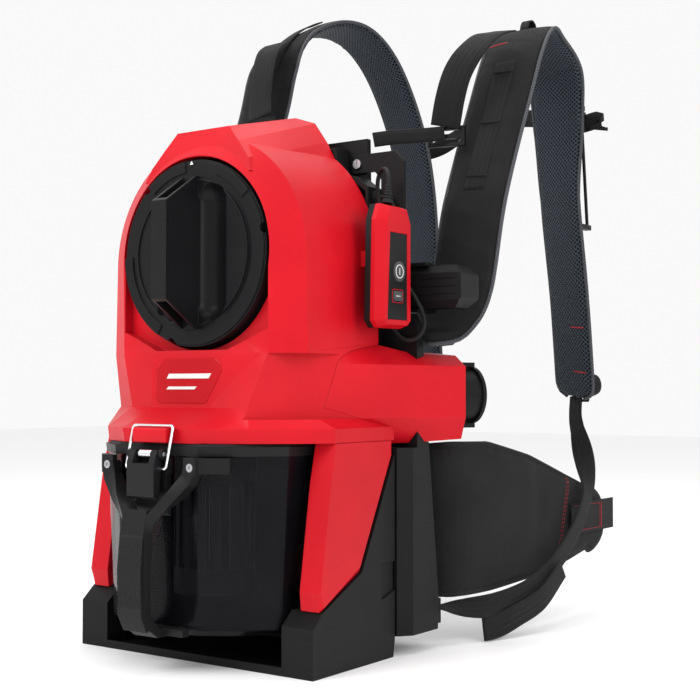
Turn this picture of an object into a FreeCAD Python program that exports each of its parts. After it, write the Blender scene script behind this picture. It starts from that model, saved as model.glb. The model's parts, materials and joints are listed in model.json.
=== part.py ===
import FreeCAD, Part
import math
import os
import re
import Sketcher
from FreeCAD import Placement, Rotation, Vector

# Backpack vacuum cleaner, millimetres, +Z up.  The origin is the centre of the foot's bottom face.
# -Y is the front with the filter lid and the dust cup, +Y is the wearer's side, +X the wearer's right.

DIMENSIONS = [
    ("base_width", 310, "foot, across"),
    ("base_front", -68, "foot, front face"),
    ("base_rear", 70, "foot, rear face"),
    ("lip_height", 8, "front lip of the tray"),
    ("floor_thick", 4, "tray floor"),
    ("block_inner", 117.5, "inner half width between the front blocks"),
    ("block_height", 47, "front blocks, top of the front face"),
    ("step_height", 61, "front blocks, top of the slope"),
    ("tower_inner", 128, "inner half width between the towers"),
    ("tower_mid", 92, "tower edge, middle height"),
    ("tower_top", 205, "tower edge at the rear"),
    ("leg_inner", 130, "inner half width between the leg covers"),
    ("leg_top", 219.8, "leg covers, top"),
    ("wall", 3.5, "moulded wall"),
    ("lid_height", 410, "filter lid, centre height"),
    ("lid_radius", 95, "filter lid, outer radius"),
    ("recess_radius", 98.5, "round recess for the lid"),
    ("bezel_front", -64, "front plane round the lid"),
    ("crease_front", -44, "plane of the crease behind the bezel"),
    ("arch_centre", 402, "centre height of the arch"),
    ("arch_front_radius", 129, "arch radius at the crease"),
    ("arch_rear_half", 134, "arch half width at the rear"),
    ("arch_rear_rise", 143, "arch rise at the rear"),
    ("collar_bottom", 220, "underside of the red collar"),
    ("grip_front", -115, "front face of the lid's grip bar"),
    ("grip_half", 10, "lid grip bar, half width"),
    ("duct_angle", 27, "duct and hose port, turned out from +Y, degrees"),
    ("port_radius", 28, "hose port, outer radius"),
    ("port_bore", 25, "hose port, bore radius"),
    ("port_height", 266, "hose port, centre height"),
    ("port_length", 30, "hose port, length past the duct"),
    ("cup_bottom", 36, "dust cup, underside"),
    ("cup_top", 208, "dust cup, top of the clear wall"),
    ("cup_wall", 2.6, "dust cup, wall"),
    ("cage_radius", 42, "pre-filter cage, radius"),
    ("pin_front", -130, "latch pin, place along Y"),
    ("pin_height", 210, "latch pin, height"),
    ("pin_radius", 2, "latch pin, radius"),
    ("wire_radius", 1.5, "wire bail, radius"),
    ("remote_rear", 146, "remote control, rear face"),
    ("remote_split", 156, "remote control, joint line"),
    ("remote_front", 172, "remote control, front face"),
    ("button_radius", 10.5, "power button, radius"),
    ("cord_diameter", 4.6, "remote's cord"),
    ("hook_thick", 3, "hook plate"),
    ("frame_front", 94.3, "back frame, front face"),
    ("frame_half", 167, "back frame, half width"),
    ("frame_bottom", 20, "back frame, lowest edge"),
    ("frame_top", 540, "back frame, highest edge"),
    ("battery_inner", 100, "battery pack, inner end"),
    ("battery_outer", 218, "battery pack, outer end"),
    ("battery_front", 97, "battery pack, front face"),
    ("battery_rear", 133, "battery pack, rear face"),
    ("battery_bottom", 356, "battery pack, underside"),
    ("battery_top", 400, "battery pack, top"),
    ("motor_radius", 46, "motor can"),
    ("impeller_radius", 44, "impeller"),
    ("pad_width", 78, "shoulder pads, width"),
    ("pad_thick", 13, "shoulder pads, thickness"),
    ("webbing_width", 25, "webbing, width"),
    ("lifter_width", 34, "load lifter webbing, width"),
    ("webbing_thick", 2, "webbing, thickness"),
    ("wing_thick", 14, "hip wings, thickness"),
]

doc = FreeCAD.newDocument("BackpackVacuum")
sheet = doc.addObject("Spreadsheet::Sheet", "Dims")
for row, (alias, value, note) in enumerate(DIMENSIONS, start=1):
    sheet.set("A%d" % row, note)
    sheet.set("B%d" % row, str(value))
    sheet.setAlias("B%d" % row, alias)
doc.recompute()

NODES = {}


def dim(alias):
    """The number in a cell."""
    return float(sheet.get(alias))


def cell(text):
    """An expression over aliases, as the sheet's cells: base_width / 2 -> Dims.base_width / 2."""
    return re.sub(r"[a-z][a-z_]+", lambda word: "Dims." + word.group(0), str(text))


def bind(item, expressions):
    for name, text in expressions.items():
        item.setExpression(name, cell(text))


def node(item, name):
    """Make a document object one of the sub-parts."""
    item.Label = name
    NODES[name] = item
    return item


# ---------------------------------------------------------------- PartDesign helpers

PLANES = {"X": "YZ_Plane", "Y": "XZ_Plane", "Z": "XY_Plane"}


def new_body(name):
    return doc.addObject("PartDesign::Body", name)


def outline_sketch(body, axis, outline, place):
    """A closed outline of straight sides whose corners are bound to the sheet."""
    sketch = body.newObject("Sketcher::SketchObject", body.Name + "_sketch")
    role = PLANES[axis]
    plane = [item for item in body.Origin.OriginFeatures if item.Role == role][0]
    sketch.AttachmentSupport = [(plane, "")]
    sketch.MapMode = "FlatFace"
    corners = []
    for first, second in outline:
        corners.append(Vector(sketch.evalExpression(cell(first)), sketch.evalExpression(cell(second)), 0))
    count = len(corners)
    sides = [Part.LineSegment(corners[i], corners[(i + 1) % count]) for i in range(count)]
    sketch.addGeometry(sides, False)
    for i in range(count):
        sketch.addConstraint(Sketcher.Constraint("Coincident", i, 2, (i + 1) % count, 1))
    for i, (first, second) in enumerate(outline):
        along = sketch.addConstraint(Sketcher.Constraint("DistanceX", -1, 1, i, 1, corners[i].x))
        sketch.setExpression("Constraints[%d]" % along, cell(first))
        up = sketch.addConstraint(Sketcher.Constraint("DistanceY", -1, 1, i, 1, corners[i].y))
        sketch.setExpression("Constraints[%d]" % up, cell(second))
    sketch.setExpression("AttachmentOffset.Base.z", cell(place))
    return sketch


def pad(body, axis, outline, low, high):
    """Add material between two planes across the axis."""
    place = "-(%s)" % high if axis == "Y" else low
    feature = body.newObject("PartDesign::Pad", body.Name + "_pad")
    feature.Profile = outline_sketch(body, axis, outline, place)
    feature.setExpression("Length", cell("(%s) - (%s)" % (high, low)))
    doc.recompute()
    return feature


def pocket(body, axis, outline, low, high):
    """Remove material between two planes across the axis, and make sure that some is removed."""
    before = body.Shape.Volume
    place = "-(%s)" % low if axis == "Y" else high
    feature = body.newObject("PartDesign::Pocket", body.Name + "_pocket")
    feature.Profile = outline_sketch(body, axis, outline, place)
    feature.setExpression("Length", cell("(%s) - (%s)" % (high, low)))
    doc.recompute()
    if body.Shape.Volume > before - 1:
        raise RuntimeError("pocket cuts nothing: " + body.Name)
    return feature


def rectangle(x_low, x_high, y_low, y_high):
    return [(x_low, y_low), (x_high, y_low), (x_high, y_high), (x_low, y_high)]


def mirrored(outline):
    """The same outline on the other side of the sketch's vertical axis."""
    return [("-(%s)" % first, second) for first, second in reversed(outline)]


# ---------------------------------------------------------------- Part helpers

def box(name, x, y, z):
    """A box from three pairs of low and high expressions."""
    item = doc.addObject("Part::Box", name)
    spans = {"Length": x, "Width": y, "Height": z}
    for key, (low, high) in spans.items():
        item.setExpression(key, cell("(%s) - (%s)" % (high, low)))
    bind(item, {"Placement.Base.x": x[0], "Placement.Base.y": y[0], "Placement.Base.z": z[0]})
    return item


def cylinder(name, radius, start, length, axis=(0, 0, 1)):
    item = doc.addObject("Part::Cylinder", name)
    item.Placement = Placement(Vector(), Rotation(Vector(0, 0, 1), Vector(*axis)))
    bind(item, {"Radius": radius, "Height": length})
    bind(item, {"Placement.Base.x": start[0], "Placement.Base.y": start[1], "Placement.Base.z": start[2]})
    return item


def cut(name, base, tool):
    item = doc.addObject("Part::Cut", name)
    item.Base = base
    item.Tool = tool
    return item


def fuse(name, parts):
    item = doc.addObject("Part::MultiFuse", name)
    item.Shapes = parts
    return item


def feature(name, shape):
    item = doc.addObject("Part::Feature", name)
    item.Shape = shape
    item.Placement = Placement()
    return item


def wire(points):
    return Part.makePolygon([Vector(*p) for p in points] + [Vector(*points[0])])


def loft(sections):
    """A solid with straight walls through closed outlines of equal corner counts."""
    return Part.makeLoft([wire(points) for points in sections], True, True)


def both_sides(half):
    """Corners of the +X half, given from the rear round to the front, made symmetric."""
    return list(half) + [(-p[0],) + tuple(p[1:]) for p in reversed(half)]


def mirrored_ends(half):
    """Corners of the +X half in space, closed by their mirror image."""
    return list(half) + [(-x, y, z) for x, y, z in reversed(half)]


def flat(corners, height):
    return [(x, y, height) for x, y in corners]


def upright(corners, depth):
    return [(x, depth, z) for x, z in corners]


def mirror_x(shape):
    return shape.mirror(Vector(), Vector(1, 0, 0))


def slab(shape_points, low, high):
    """A prism along X from an outline in Y and Z."""
    outline = [(low, y, z) for y, z in shape_points]
    return Part.Face(wire(outline)).extrude(Vector(high - low, 0, 0))


def rod(start, end, radius):
    start = Vector(*start)
    span = Vector(*end) - start
    return Part.makeCylinder(radius, span.Length, start, span)


def biggest(shape):
    return sorted(shape.Solids, key=lambda item: item.Volume)[-1]


def block(x, y, z):
    return Part.makeBox(x[1] - x[0], y[1] - y[0], z[1] - z[0], Vector(x[0], y[0], z[0]))


def band(points, across, width, thick):
    """A flat band along a path.  across gives the direction of its width at each point."""
    path = [Vector(*p) for p in points]
    sections = []
    for i, here in enumerate(path):
        before = path[max(i - 1, 0)]
        after = path[min(i + 1, len(path) - 1)]
        along = (after - before).normalize()
        side = Vector(*across[i])
        side = (side - along * side.dot(along)).normalize()
        normal = along.cross(side)
        side = side * (width / 2)
        normal = normal * (thick / 2)
        corners = [here - side - normal, here + side - normal, here + side + normal, here - side + normal]
        sections.append(Part.makePolygon(corners + [corners[0]]))
    return Part.makeLoft(sections, True, True)


def rounded_path(points):
    """Straight runs joined by tangent arcs.  An arc takes 0.45 of the shorter run beside its corner."""
    path = [Vector(*p) for p in points]
    edges = []
    radii = []
    start = path[0]
    for i in range(1, len(path) - 1):
        back = path[i - 1] - path[i]
        ahead = path[i + 1] - path[i]
        reach = 0.45 * min(back.Length, ahead.Length)
        turn = math.pi - back.getAngle(ahead)
        radii.append(reach / math.tan(turn / 2))
        back.normalize()
        ahead.normalize()
        enter = path[i] + back * reach
        leave = path[i] + ahead * reach
        inward = (back + ahead).normalize()
        middle = path[i] + inward * (radii[-1] / math.cos(turn / 2) - radii[-1])
        edges.append(Part.LineSegment(start, enter).toShape())
        edges.append(Part.Arc(enter, middle, leave).toShape())
        start = leave
    edges.append(Part.LineSegment(start, path[-1]).toShape())
    return Part.Wire(edges), radii


def tube(points, radius):
    """A round tube along a rounded path."""
    spine, radii = rounded_path(points)
    start = Vector(*points[0])
    direction = (Vector(*points[1]) - start).normalize()
    ring = Part.Wire([Part.makeCircle(radius, start, direction)])
    solid = spine.makePipeShell([ring], True, True, 2)
    return solid, spine, radii


# ================================================================ foot and leg covers

def make_base_tray():
    body = new_body("BaseTray")
    half = "base_width / 2"
    slab_outline = rectangle("-(%s)" % half, half, "base_front", "base_rear")
    pad(body, "Z", slab_outline, "0", "floor_thick")
    tower = [
        ("base_front", "0"),
        ("base_rear", "0"),
        ("base_rear", "tower_top"),
        ("12", "tower_mid"),
        ("-52", "step_height"),
        ("base_front", "block_height"),
    ]
    block_side = [
        ("base_front", "0"),
        ("-40", "0"),
        ("-40", "step_height"),
        ("-52", "step_height"),
        ("base_front", "block_height"),
    ]
    pad(body, "X", tower, "tower_inner", half)
    pad(body, "X", tower, "-(%s)" % half, "-tower_inner")
    pad(body, "X", block_side, "block_inner", "tower_inner + 1")
    pad(body, "X", block_side, "-tower_inner - 1", "-block_inner")
    pad(body, "Z", rectangle("-tower_inner", "tower_inner", "base_front", "base_front + 4"), "0", "lip_height")
    pad(body, "Z", rectangle("-tower_inner", "tower_inner", "base_rear - 5", "base_rear"), "0", "tower_top - 20")
    inner = [
        ("-36", "12"),
        ("base_rear - 5", "12"),
        ("base_rear - 5", "tower_top - 24"),
        ("14", "tower_mid - 6"),
        ("-36", "step_height + 2"),
    ]
    pocket(body, "X", inner, "tower_inner - 1", "%s - 4" % half)
    pocket(body, "X", inner, "-(%s) + 4" % half, "-tower_inner + 1")
    grip_recess = [("44", "97"), ("46", "60"), ("base_rear + 1", "68"), ("base_rear + 1", "97")]
    pocket(body, "X", grip_recess, "%s - 2.5" % half, "%s + 1" % half)
    pocket(body, "X", grip_recess, "-(%s) - 1" % half, "-(%s) + 2.5" % half)
    rear_chamfer = [("base_rear - 3", "-1"), ("base_rear + 1", "-1"), ("base_rear + 1", "22")]
    pocket(body, "X", rear_chamfer, "-(%s) - 1" % half, "%s + 1" % half)
    node(body, "base_tray")


def leg_shape():
    """The right leg cover: a hollow slab with bevelled rear edges, on the tower's stepped edge."""
    half = dim("base_width") / 2
    rear = dim("base_rear")
    top = dim("leg_top")
    step = dim("step_height") + 0.2
    mid = dim("tower_mid") + 0.2
    edge = dim("tower_top") + 0.2
    outer = [(-54, step), (-52, step), (12, mid), (rear, edge), (rear, top), (-31, top), (-40, 181), (-56, 79)]
    face = [(-52, step + 6), (-49, step + 5), (9, mid + 6), (rear - 7, edge), (rear - 7, top), (-31, top),
            (-40, 181), (-56, 79)]
    inner = [(-48, step + 10), (-44, step + 8), (8, mid + 10), (rear - 12, edge - 4), (rear - 12, top - 4),
             (-27, top - 4), (-36, 181), (-51, 79)]
    shell = slab(outer, dim("leg_inner"), half - 4)
    bevel = loft([[(half - 4, y, z) for y, z in outer], [(half, y, z) for y, z in face]])
    hollow = slab(inner, dim("leg_inner") - 1, half - 7)
    return shell.fuse(bevel).removeSplitter().cut(hollow)


def make_leg_covers():
    right = leg_shape()
    node(feature("RightLegCover", right), "right_leg_cover")
    node(feature("LeftLegCover", mirror_x(right)), "left_leg_cover")


# ================================================================ red housing

def arch_wire(depth, half, rise, foot_half, foot):
    """An upright arch: an elliptic top on nearly straight sides."""
    centre = dim("arch_centre")
    middle = Vector(0, depth, centre)
    if rise > half:
        curve = Part.Ellipse(Vector(0, depth, centre + rise), Vector(half, depth, centre), middle)
    else:
        curve = Part.Ellipse(Vector(half, depth, centre), Vector(0, depth, centre + rise), middle)
    start = curve.parameter(Vector(half, depth, centre))
    end = curve.parameter(Vector(-half, depth, centre))
    top = Part.ArcOfEllipse(curve, start, end)
    if top.value((top.FirstParameter + top.LastParameter) / 2).z < centre:
        top = Part.ArcOfEllipse(curve, end, start)
    first = top.StartPoint
    last = top.EndPoint
    sign = 1 if first.x > 0 else -1
    low_first = Vector(sign * foot_half, depth, foot)
    low_last = Vector(-sign * foot_half, depth, foot)
    edges = [
        Part.LineSegment(low_first, first).toShape(),
        top.toShape(),
        Part.LineSegment(last, low_last).toShape(),
        Part.LineSegment(low_last, low_first).toShape(),
    ]
    return Part.Wire(edges)


def arch_solid(inset, front, rear, foot, foot_rise):
    radius = dim("arch_front_radius") - inset
    front_wire = arch_wire(front, radius, radius + 0.5, radius + 2, foot)
    rear_wire = arch_wire(rear, dim("arch_rear_half") - inset, dim("arch_rear_rise") - inset,
                          dim("arch_rear_half") + 1 - inset, foot + foot_rise)
    return Part.makeLoft([front_wire, rear_wire], True, True)


ARCH_FOOT = 308
ARCH_FOOT_RISE = 12
CROWN_LEAN = 0.18
CROWN_FRONT = [(72, 488), (66, 502), (50, 521.3), (35, 538)]
CROWN_REAR = [(94, 490), (68.9, 536), (52.5, 558.6), (26, 567.6)]

# The chin's corners in X and Y from the rear round to the front, at five heights.  Its right side runs out
# into the intake duct, so that its front facet leans over to the right.
CHIN_LEFT = [
    (330, [(134.5, 70), (130, -44), (98, -63), (50, -63)]),
    (308, [(134, 70), (131, -44), (98, -64.2), (50, -70)]),
    (254, [(130, 70), (122, -45), (84, -66), (50, -72)]),
    (234, [(154, 70), (154, -32), (95, -90), (46, -117)]),
    (220, [(154, 70), (154, -31), (94, -89), (45, -115)]),
]
CHIN_RIGHT = [
    (330, [(134.5, 70), (130, -44), (98, -63), (50, -63)]),
    (308, [(134, 70), (131, -44), (97, -64), (84, -66)]),
    (254, [(130, 70), (122, -45), (87.5, -83), (28, -72)]),
    (234, [(154, 70), (154, -32), (95, -90), (46, -117)]),
    (220, [(154, 70), (154, -31), (94, -89), (45, -115)]),
]


def chin_solid():
    sections = []
    for (height, left), (_, right) in zip(CHIN_LEFT, CHIN_RIGHT):
        corners = right + [(-x, y) for x, y in reversed(left)]
        sections.append(flat(corners, height))
    return loft(sections).cut(duct_side_cut())


def chin_hollow():
    """The space inside the chin, open to the rear, which stops above the collar's floor."""
    rear = dim("base_rear") + 1
    sections = []
    for height, half, narrow, front in ((330, 118, 96, -44), (308, 116, 90, -50), (254, 112, 76, -50)):
        sections.append(flat(both_sides([(half, rear), (half, 10), (narrow, front)]), height))
    floor = [(x, y, dim("collar_bottom") + 6) for x, y, height in sections[-1]]
    return loft(sections + [floor])


def housing_envelope():
    """The red housing's outer form, before it is hollowed."""
    crease = dim("crease_front")
    radius = dim("arch_front_radius")
    face_radius = dim("recess_radius") + 1.5
    arch = arch_solid(0, crease, dim("base_rear"), ARCH_FOOT, ARCH_FOOT_RISE)
    bezel = Part.makeLoft([
        arch_wire(crease, radius, radius + 0.5, radius + 2, ARCH_FOOT),
        arch_wire(dim("bezel_front"), face_radius, face_radius + 8, 98, ARCH_FOOT - 1),
    ], True, True)
    leaning = [(x, -60 + CROWN_LEAN * (z - 488), z) for x, z in CROWN_FRONT]
    crown = loft([mirrored_ends(leaning), mirrored_ends([(x, dim("base_rear"), z) for x, z in CROWN_REAR])])
    return arch.fuse([bezel, crown, chin_solid()]).removeSplitter()


def make_front_housing(envelope):
    wall = dim("wall")
    crease = dim("crease_front")
    rear = dim("base_rear")
    centre = Vector(0, 0, dim("lid_height"))
    hollow = arch_solid(wall, crease + wall, rear + 1, ARCH_FOOT + 4, ARCH_FOOT_RISE)
    shell = envelope.cut(hollow).cut(chin_hollow())
    ring_outer = Part.makeCylinder(dim("recess_radius") + 3, 68, centre + Vector(0, -48, 0), Vector(0, 1, 0))
    ring_inner = Part.makeCylinder(dim("recess_radius"), 100, centre + Vector(0, -80, 0), Vector(0, 1, 0))
    back = Part.makeCylinder(dim("recess_radius") + 3, 3, centre + Vector(0, 20, 0), Vector(0, 1, 0))
    outlet = Part.makeCylinder(45, 40, centre + Vector(0, 0, 0), Vector(0, 1, 0))
    shell = shell.fuse([ring_outer, back]).cut(ring_inner).cut(outlet)
    recess_outline = [(97, 402), (97, 332), (47, 311.5), (-47, 311.5), (-97, 332), (-97, 402)]
    recess = Part.Face(wire(upright(recess_outline, -80))).extrude(Vector(0, 27.5, 0))
    shell = shell.cut(recess)
    inlet = Part.makeCylinder(24, 30, Vector(70, 20, 210), Vector(0, 0, 1))
    suction = Part.makeCylinder(36, 30, Vector(0, 5, 210), Vector(0, 0, 1))
    duct_way = Part.makeCylinder(24, 60, Vector(95, 20, dim("port_height") - 2), Vector(1, 0.4, 0))
    shell = shell.cut(inlet).cut(suction).cut(duct_way)
    node(feature("FrontHousing", biggest(shell)), "front_housing")


def duct_frame():
    """Start point on the chin, direction along the duct, and direction in towards the machine."""
    angle = math.radians(dim("duct_angle"))
    start = Vector(97, dim("bezel_front"), 0)
    along = Vector(math.sin(angle), math.cos(angle), 0)
    inward = Vector(-math.cos(angle), math.sin(angle), 0)
    return start, along, inward


DUCT_LENGTH = 226
# The duct's outlines by distance along it: depth in from its flat outer side, and height.
DUCT_OUTLINES = [
    (16, [(0, 243), (0, 303), (3, 310), (60, 312), (60, 235), (4, 238)]),
    (75, [(0, 243), (0, 298), (2, 312), (60, 318), (62, 222), (14, 222)]),
    (136, [(0, 243), (0, 297), (27, 318), (70, 319), (70, 216), (24, 216)]),
    (176, [(0, 243), (0, 297), (20, 309), (70, 313), (70, 216), (18, 217)]),
    (DUCT_LENGTH, [(0, 243), (0, 296), (20, 308), (70, 312), (70, 218), (9, 220)]),
]


def duct_side_cut():
    """Everything outside the duct's flat outer side, between the collar's slope and the arch's foot."""
    start, along, inward = duct_frame()
    height = ARCH_FOOT - 1 - 243
    outside = Part.makeBox(300, 90, height, Vector(-60, -90, 243))
    outside.rotate(Vector(), Vector(0, 0, 1), 90 - dim("duct_angle"))
    return outside.translated(start)


def duct_section(corners, distance, grow):
    start, along, inward = duct_frame()
    middle_width = 35
    middle_height = 264
    points = []
    for across, height in corners:
        across = across + grow * (1 if across > middle_width else -1)
        height = height + grow * (1 if height > middle_height else -1)
        place = start + along * distance + inward * across
        points.append((place.x, place.y, height))
    return points


def duct_solid(grow, length):
    outlines = list(DUCT_OUTLINES)
    if length > DUCT_LENGTH:
        outlines.append((length, DUCT_OUTLINES[-1][1]))
    return loft([duct_section(corners, distance, grow) for distance, corners in outlines])


def port_axis():
    """Centre of the duct's end and the direction out of it."""
    start, along, inward = duct_frame()
    centre = start + along * DUCT_LENGTH + inward * 36
    return Vector(centre.x, centre.y, dim("port_height")), along


def make_duct(envelope):
    centre, along = port_axis()
    outer = duct_solid(0, DUCT_LENGTH).cut(envelope)
    rear_box = block((-130, 122.3), (dim("base_rear") - 1, dim("frame_front")), (200, 330))
    leg_box = block((100, 155.2), (-40, 70.2), (200, dim("leg_top") + 0.2))
    outer = outer.cut(rear_box).cut(leg_box)
    hollow = loft([duct_section(corners, min(distance, DUCT_LENGTH - 4), -3.5)
                   for distance, corners in DUCT_OUTLINES[1:]])
    wall_hole = Part.makeCylinder(dim("port_radius") + 0.1, 20, centre - along * 10, along)
    shell = outer.cut(hollow.cut(rear_box)).cut(wall_hole)
    node(feature("IntakeDuct", biggest(shell)), "intake_duct")
    length = dim("port_length")
    body = Part.makeCylinder(dim("port_radius"), length + 8, centre - along * 8, along)
    flange = Part.makeCylinder(dim("port_radius") + 3, 4, centre + along * (length - 4), along)
    stop = Part.makeCylinder(dim("port_radius") + 2, 3, centre + along * 3, along)
    port = body.fuse([flange, stop])
    for sign in (1, -1):
        height = dim("port_radius") + 3
        lug = Part.makeBox(14, 16, 5, Vector(-7, 0, height - 1))
        lug.rotate(Vector(), Vector(0, 0, 1), -dim("duct_angle"))
        if sign < 0:
            lug = lug.mirror(Vector(), Vector(0, 0, 1))
        lug.translate(centre + along * (length - 16))
        neck = Part.makeBox(8, 6, 6, Vector(-4, 0, height - 5))
        neck.rotate(Vector(), Vector(0, 0, 1), -dim("duct_angle"))
        if sign < 0:
            neck = neck.mirror(Vector(), Vector(0, 0, 1))
        neck.translate(centre + along * (length - 8))
        port = port.fuse([lug, neck])
    bore = Part.makeCylinder(dim("port_bore"), length + 40, centre - along * 20, along)
    node(feature("HosePort", port.cut(bore).removeSplitter()), "hose_port")


def make_catch_block():
    outline = [(-116.9, 221), (-121, 219.9), (-126, 221), (-127, 225), (-127, 233), (-125, 235), (-112, 235)]
    profile = slab(outline, -22, 22)
    node(feature("CatchBlock", profile.cut(chin_solid())), "catch_block")


# ================================================================ filter lid and filter

def make_filter_lid():
    centre = Vector(0, 0, dim("lid_height"))
    radius = dim("lid_radius")
    back = Vector(0, 1, 0)
    grip_half = dim("grip_half")
    front = dim("grip_front")
    rim = Part.makeCylinder(radius - 2, 2, centre + Vector(0, -66, 0), back)
    body = Part.makeCylinder(radius, 20, centre + Vector(0, -64, 0), back)
    disc = Part.makeCylinder(75, 8, centre + Vector(0, -69.5, 0), back)
    dish = Part.makeCylinder(73, 4, centre + Vector(0, -72, 0), back)
    lid = body.fuse([rim, disc]).cut(dish)
    for first, sweep in ((-22, 30), (40, 34), (150, 60)):
        segment = Part.makeCylinder(radius - 1, 2.2, centre + Vector(0, -67.6, 0), back, sweep)
        segment.rotate(centre, back, -first)
        segment = segment.cut(Part.makeCylinder(radius - 12, 4, centre + Vector(0, -68, 0), back))
        lid = lid.fuse(segment)
    for sign in (1, -1):
        scoop = Part.makeCylinder(20, 100, Vector(sign * 28, -75, 360), Vector(0, 0, 1))
        ends = [Part.makeSphere(20, Vector(sign * 28, -75, height)) for height in (360, 460)]
        lid = lid.cut(scoop.fuse(ends))
    bar_outline = [(front, 361), (front, 458), (-72, 487), (-48, 487), (-48, 331), (-72, 333)]
    bar = slab(bar_outline, -grip_half, grip_half)
    for low, high in ((320, 368), (452, 500)):
        bar = bar.cut(block((-grip_half + 3, grip_half - 3), (front + 4, -72), (low, high)))
    lid = lid.fuse(bar)
    hollow = Part.makeCylinder(radius - 4, 6, centre + Vector(0, -47.9, 0), back)
    hollow = hollow.cut(Part.makeCylinder(30, 10, centre + Vector(0, -50, 0), back))
    lid = lid.cut(hollow)
    for angle in (12, 132, 252):
        turn = math.radians(angle)
        spot = centre + Vector(math.cos(turn) * (radius + 1), -60, math.sin(turn) * (radius + 1))
        notch = Part.makeCylinder(6, 10, spot + Vector(0, -7, 0), back)
        lid = lid.cut(notch)
    node(feature("FilterLid", biggest(lid)), "filter_lid")
    gasket = Part.makeCylinder(radius - 0.5, 3, centre + Vector(0, -43.9, 0), back)
    gasket = gasket.cut(Part.makeCylinder(radius - 6, 5, centre + Vector(0, -45, 0), back))
    node(feature("LidGasket", gasket), "lid_gasket")


def make_filter_cartridge():
    centre = Vector(0, 0, dim("lid_height"))
    back = Vector(0, 1, 0)
    points = []
    pleats = 48
    for i in range(2 * pleats):
        angle = math.pi * i / pleats
        radius = 82 if i % 2 else 70
        points.append((radius * math.cos(angle), -34, dim("lid_height") + radius * math.sin(angle)))
    pack = Part.Face(wire(points)).extrude(Vector(0, 44, 0))
    end_plate = Part.makeCylinder(84, 4, centre + Vector(0, -38, 0), back)
    foot_ring = Part.makeCylinder(86, 5, centre + Vector(0, 10, 0), back)
    cartridge = pack.fuse([end_plate, foot_ring])
    core = Part.makeCylinder(46, 60, centre + Vector(0, -33, 0), back)
    node(feature("FilterCartridge", cartridge.cut(core)), "filter_cartridge")
    seal = Part.makeCylinder(85, 4.8, centre + Vector(0, 15.1, 0), back)
    seal = seal.cut(Part.makeCylinder(50, 6, centre + Vector(0, 15, 0), back))
    node(feature("FilterSeal", seal), "filter_seal")


# ================================================================ dust cup and latch

CUP_TOP = [(38, 40), (88, 26), (120, -12), (120, -60), (94, -90), (54, -116)]
CUP_LOW = [(34, 34), (80, 20), (111, -14), (111, -60), (88, -87), (50, -112)]


def offset(corners, distance):
    """Move an outline of one side in (negative) or out, roughly evenly."""
    moved = []
    for x, y in corners:
        middle_y = -38
        moved.append((x + distance, y + distance * (1 if y > middle_y else -1)))
    return moved


def make_dust_cup():
    wall = dim("cup_wall")
    low = dim("cup_bottom")
    top = dim("cup_top")
    outer = loft([
        flat(both_sides(offset(CUP_LOW, -6)), low),
        flat(both_sides(CUP_LOW), low + 6),
        flat(both_sides(CUP_TOP), top),
    ])
    inner = loft([
        flat(both_sides(offset(CUP_LOW, -7 - wall)), low + wall),
        flat(both_sides(offset(CUP_LOW, -wall)), low + 7),
        flat(both_sides(offset(CUP_TOP, -wall)), top + 0.1),
    ])
    node(feature("DustCup", outer.cut(inner)), "dust_cup")
    ring = loft([flat(both_sides(offset(CUP_TOP, 1)), top + 0.05), flat(both_sides(offset(CUP_TOP, 1.8)), top + 9)])
    hole = loft([flat(both_sides(offset(CUP_TOP, -6)), top - 1), flat(both_sides(offset(CUP_TOP, -6)), top + 20)])
    node(feature("CupCollar", ring.cut(hole)), "cup_collar")
    seal = loft([flat(both_sides(offset(CUP_TOP, -1)), top + 9), flat(both_sides(offset(CUP_TOP, -2)), top + 11.6)])
    node(feature("CupSeal", seal.cut(hole)), "cup_seal")


def make_prefilter():
    radius = "cage_radius"
    height = "cup_top - 70"
    shell = cut("CageShell", cylinder("CageOuter", radius, ("0", "-30", "66"), height),
                cylinder("CageInner", "cage_radius - 2.5", ("0", "-30", "69"), height))
    slots = []
    for i in range(8):
        turn = math.pi * (i + 0.5) / 8
        bar = box("CageSlot%d" % i, ("-60", "60"), ("-4.5", "4.5"), ("92", "cup_top - 30"))
        bar.Placement = Placement(Vector(), Rotation(Vector(0, 0, 1), math.degrees(turn)))
        centre_x = -60 * math.cos(turn) + 4.5 * math.sin(turn)
        centre_y = -30 - 60 * math.sin(turn) - 4.5 * math.cos(turn)
        bind(bar, {"Placement.Base.x": centre_x, "Placement.Base.y": centre_y, "Placement.Base.z": 92})
        slots.append(bar)
    node(cut("CageSlotted", shell, fuse("CageSlots", slots)), "prefilter_cage")


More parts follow.
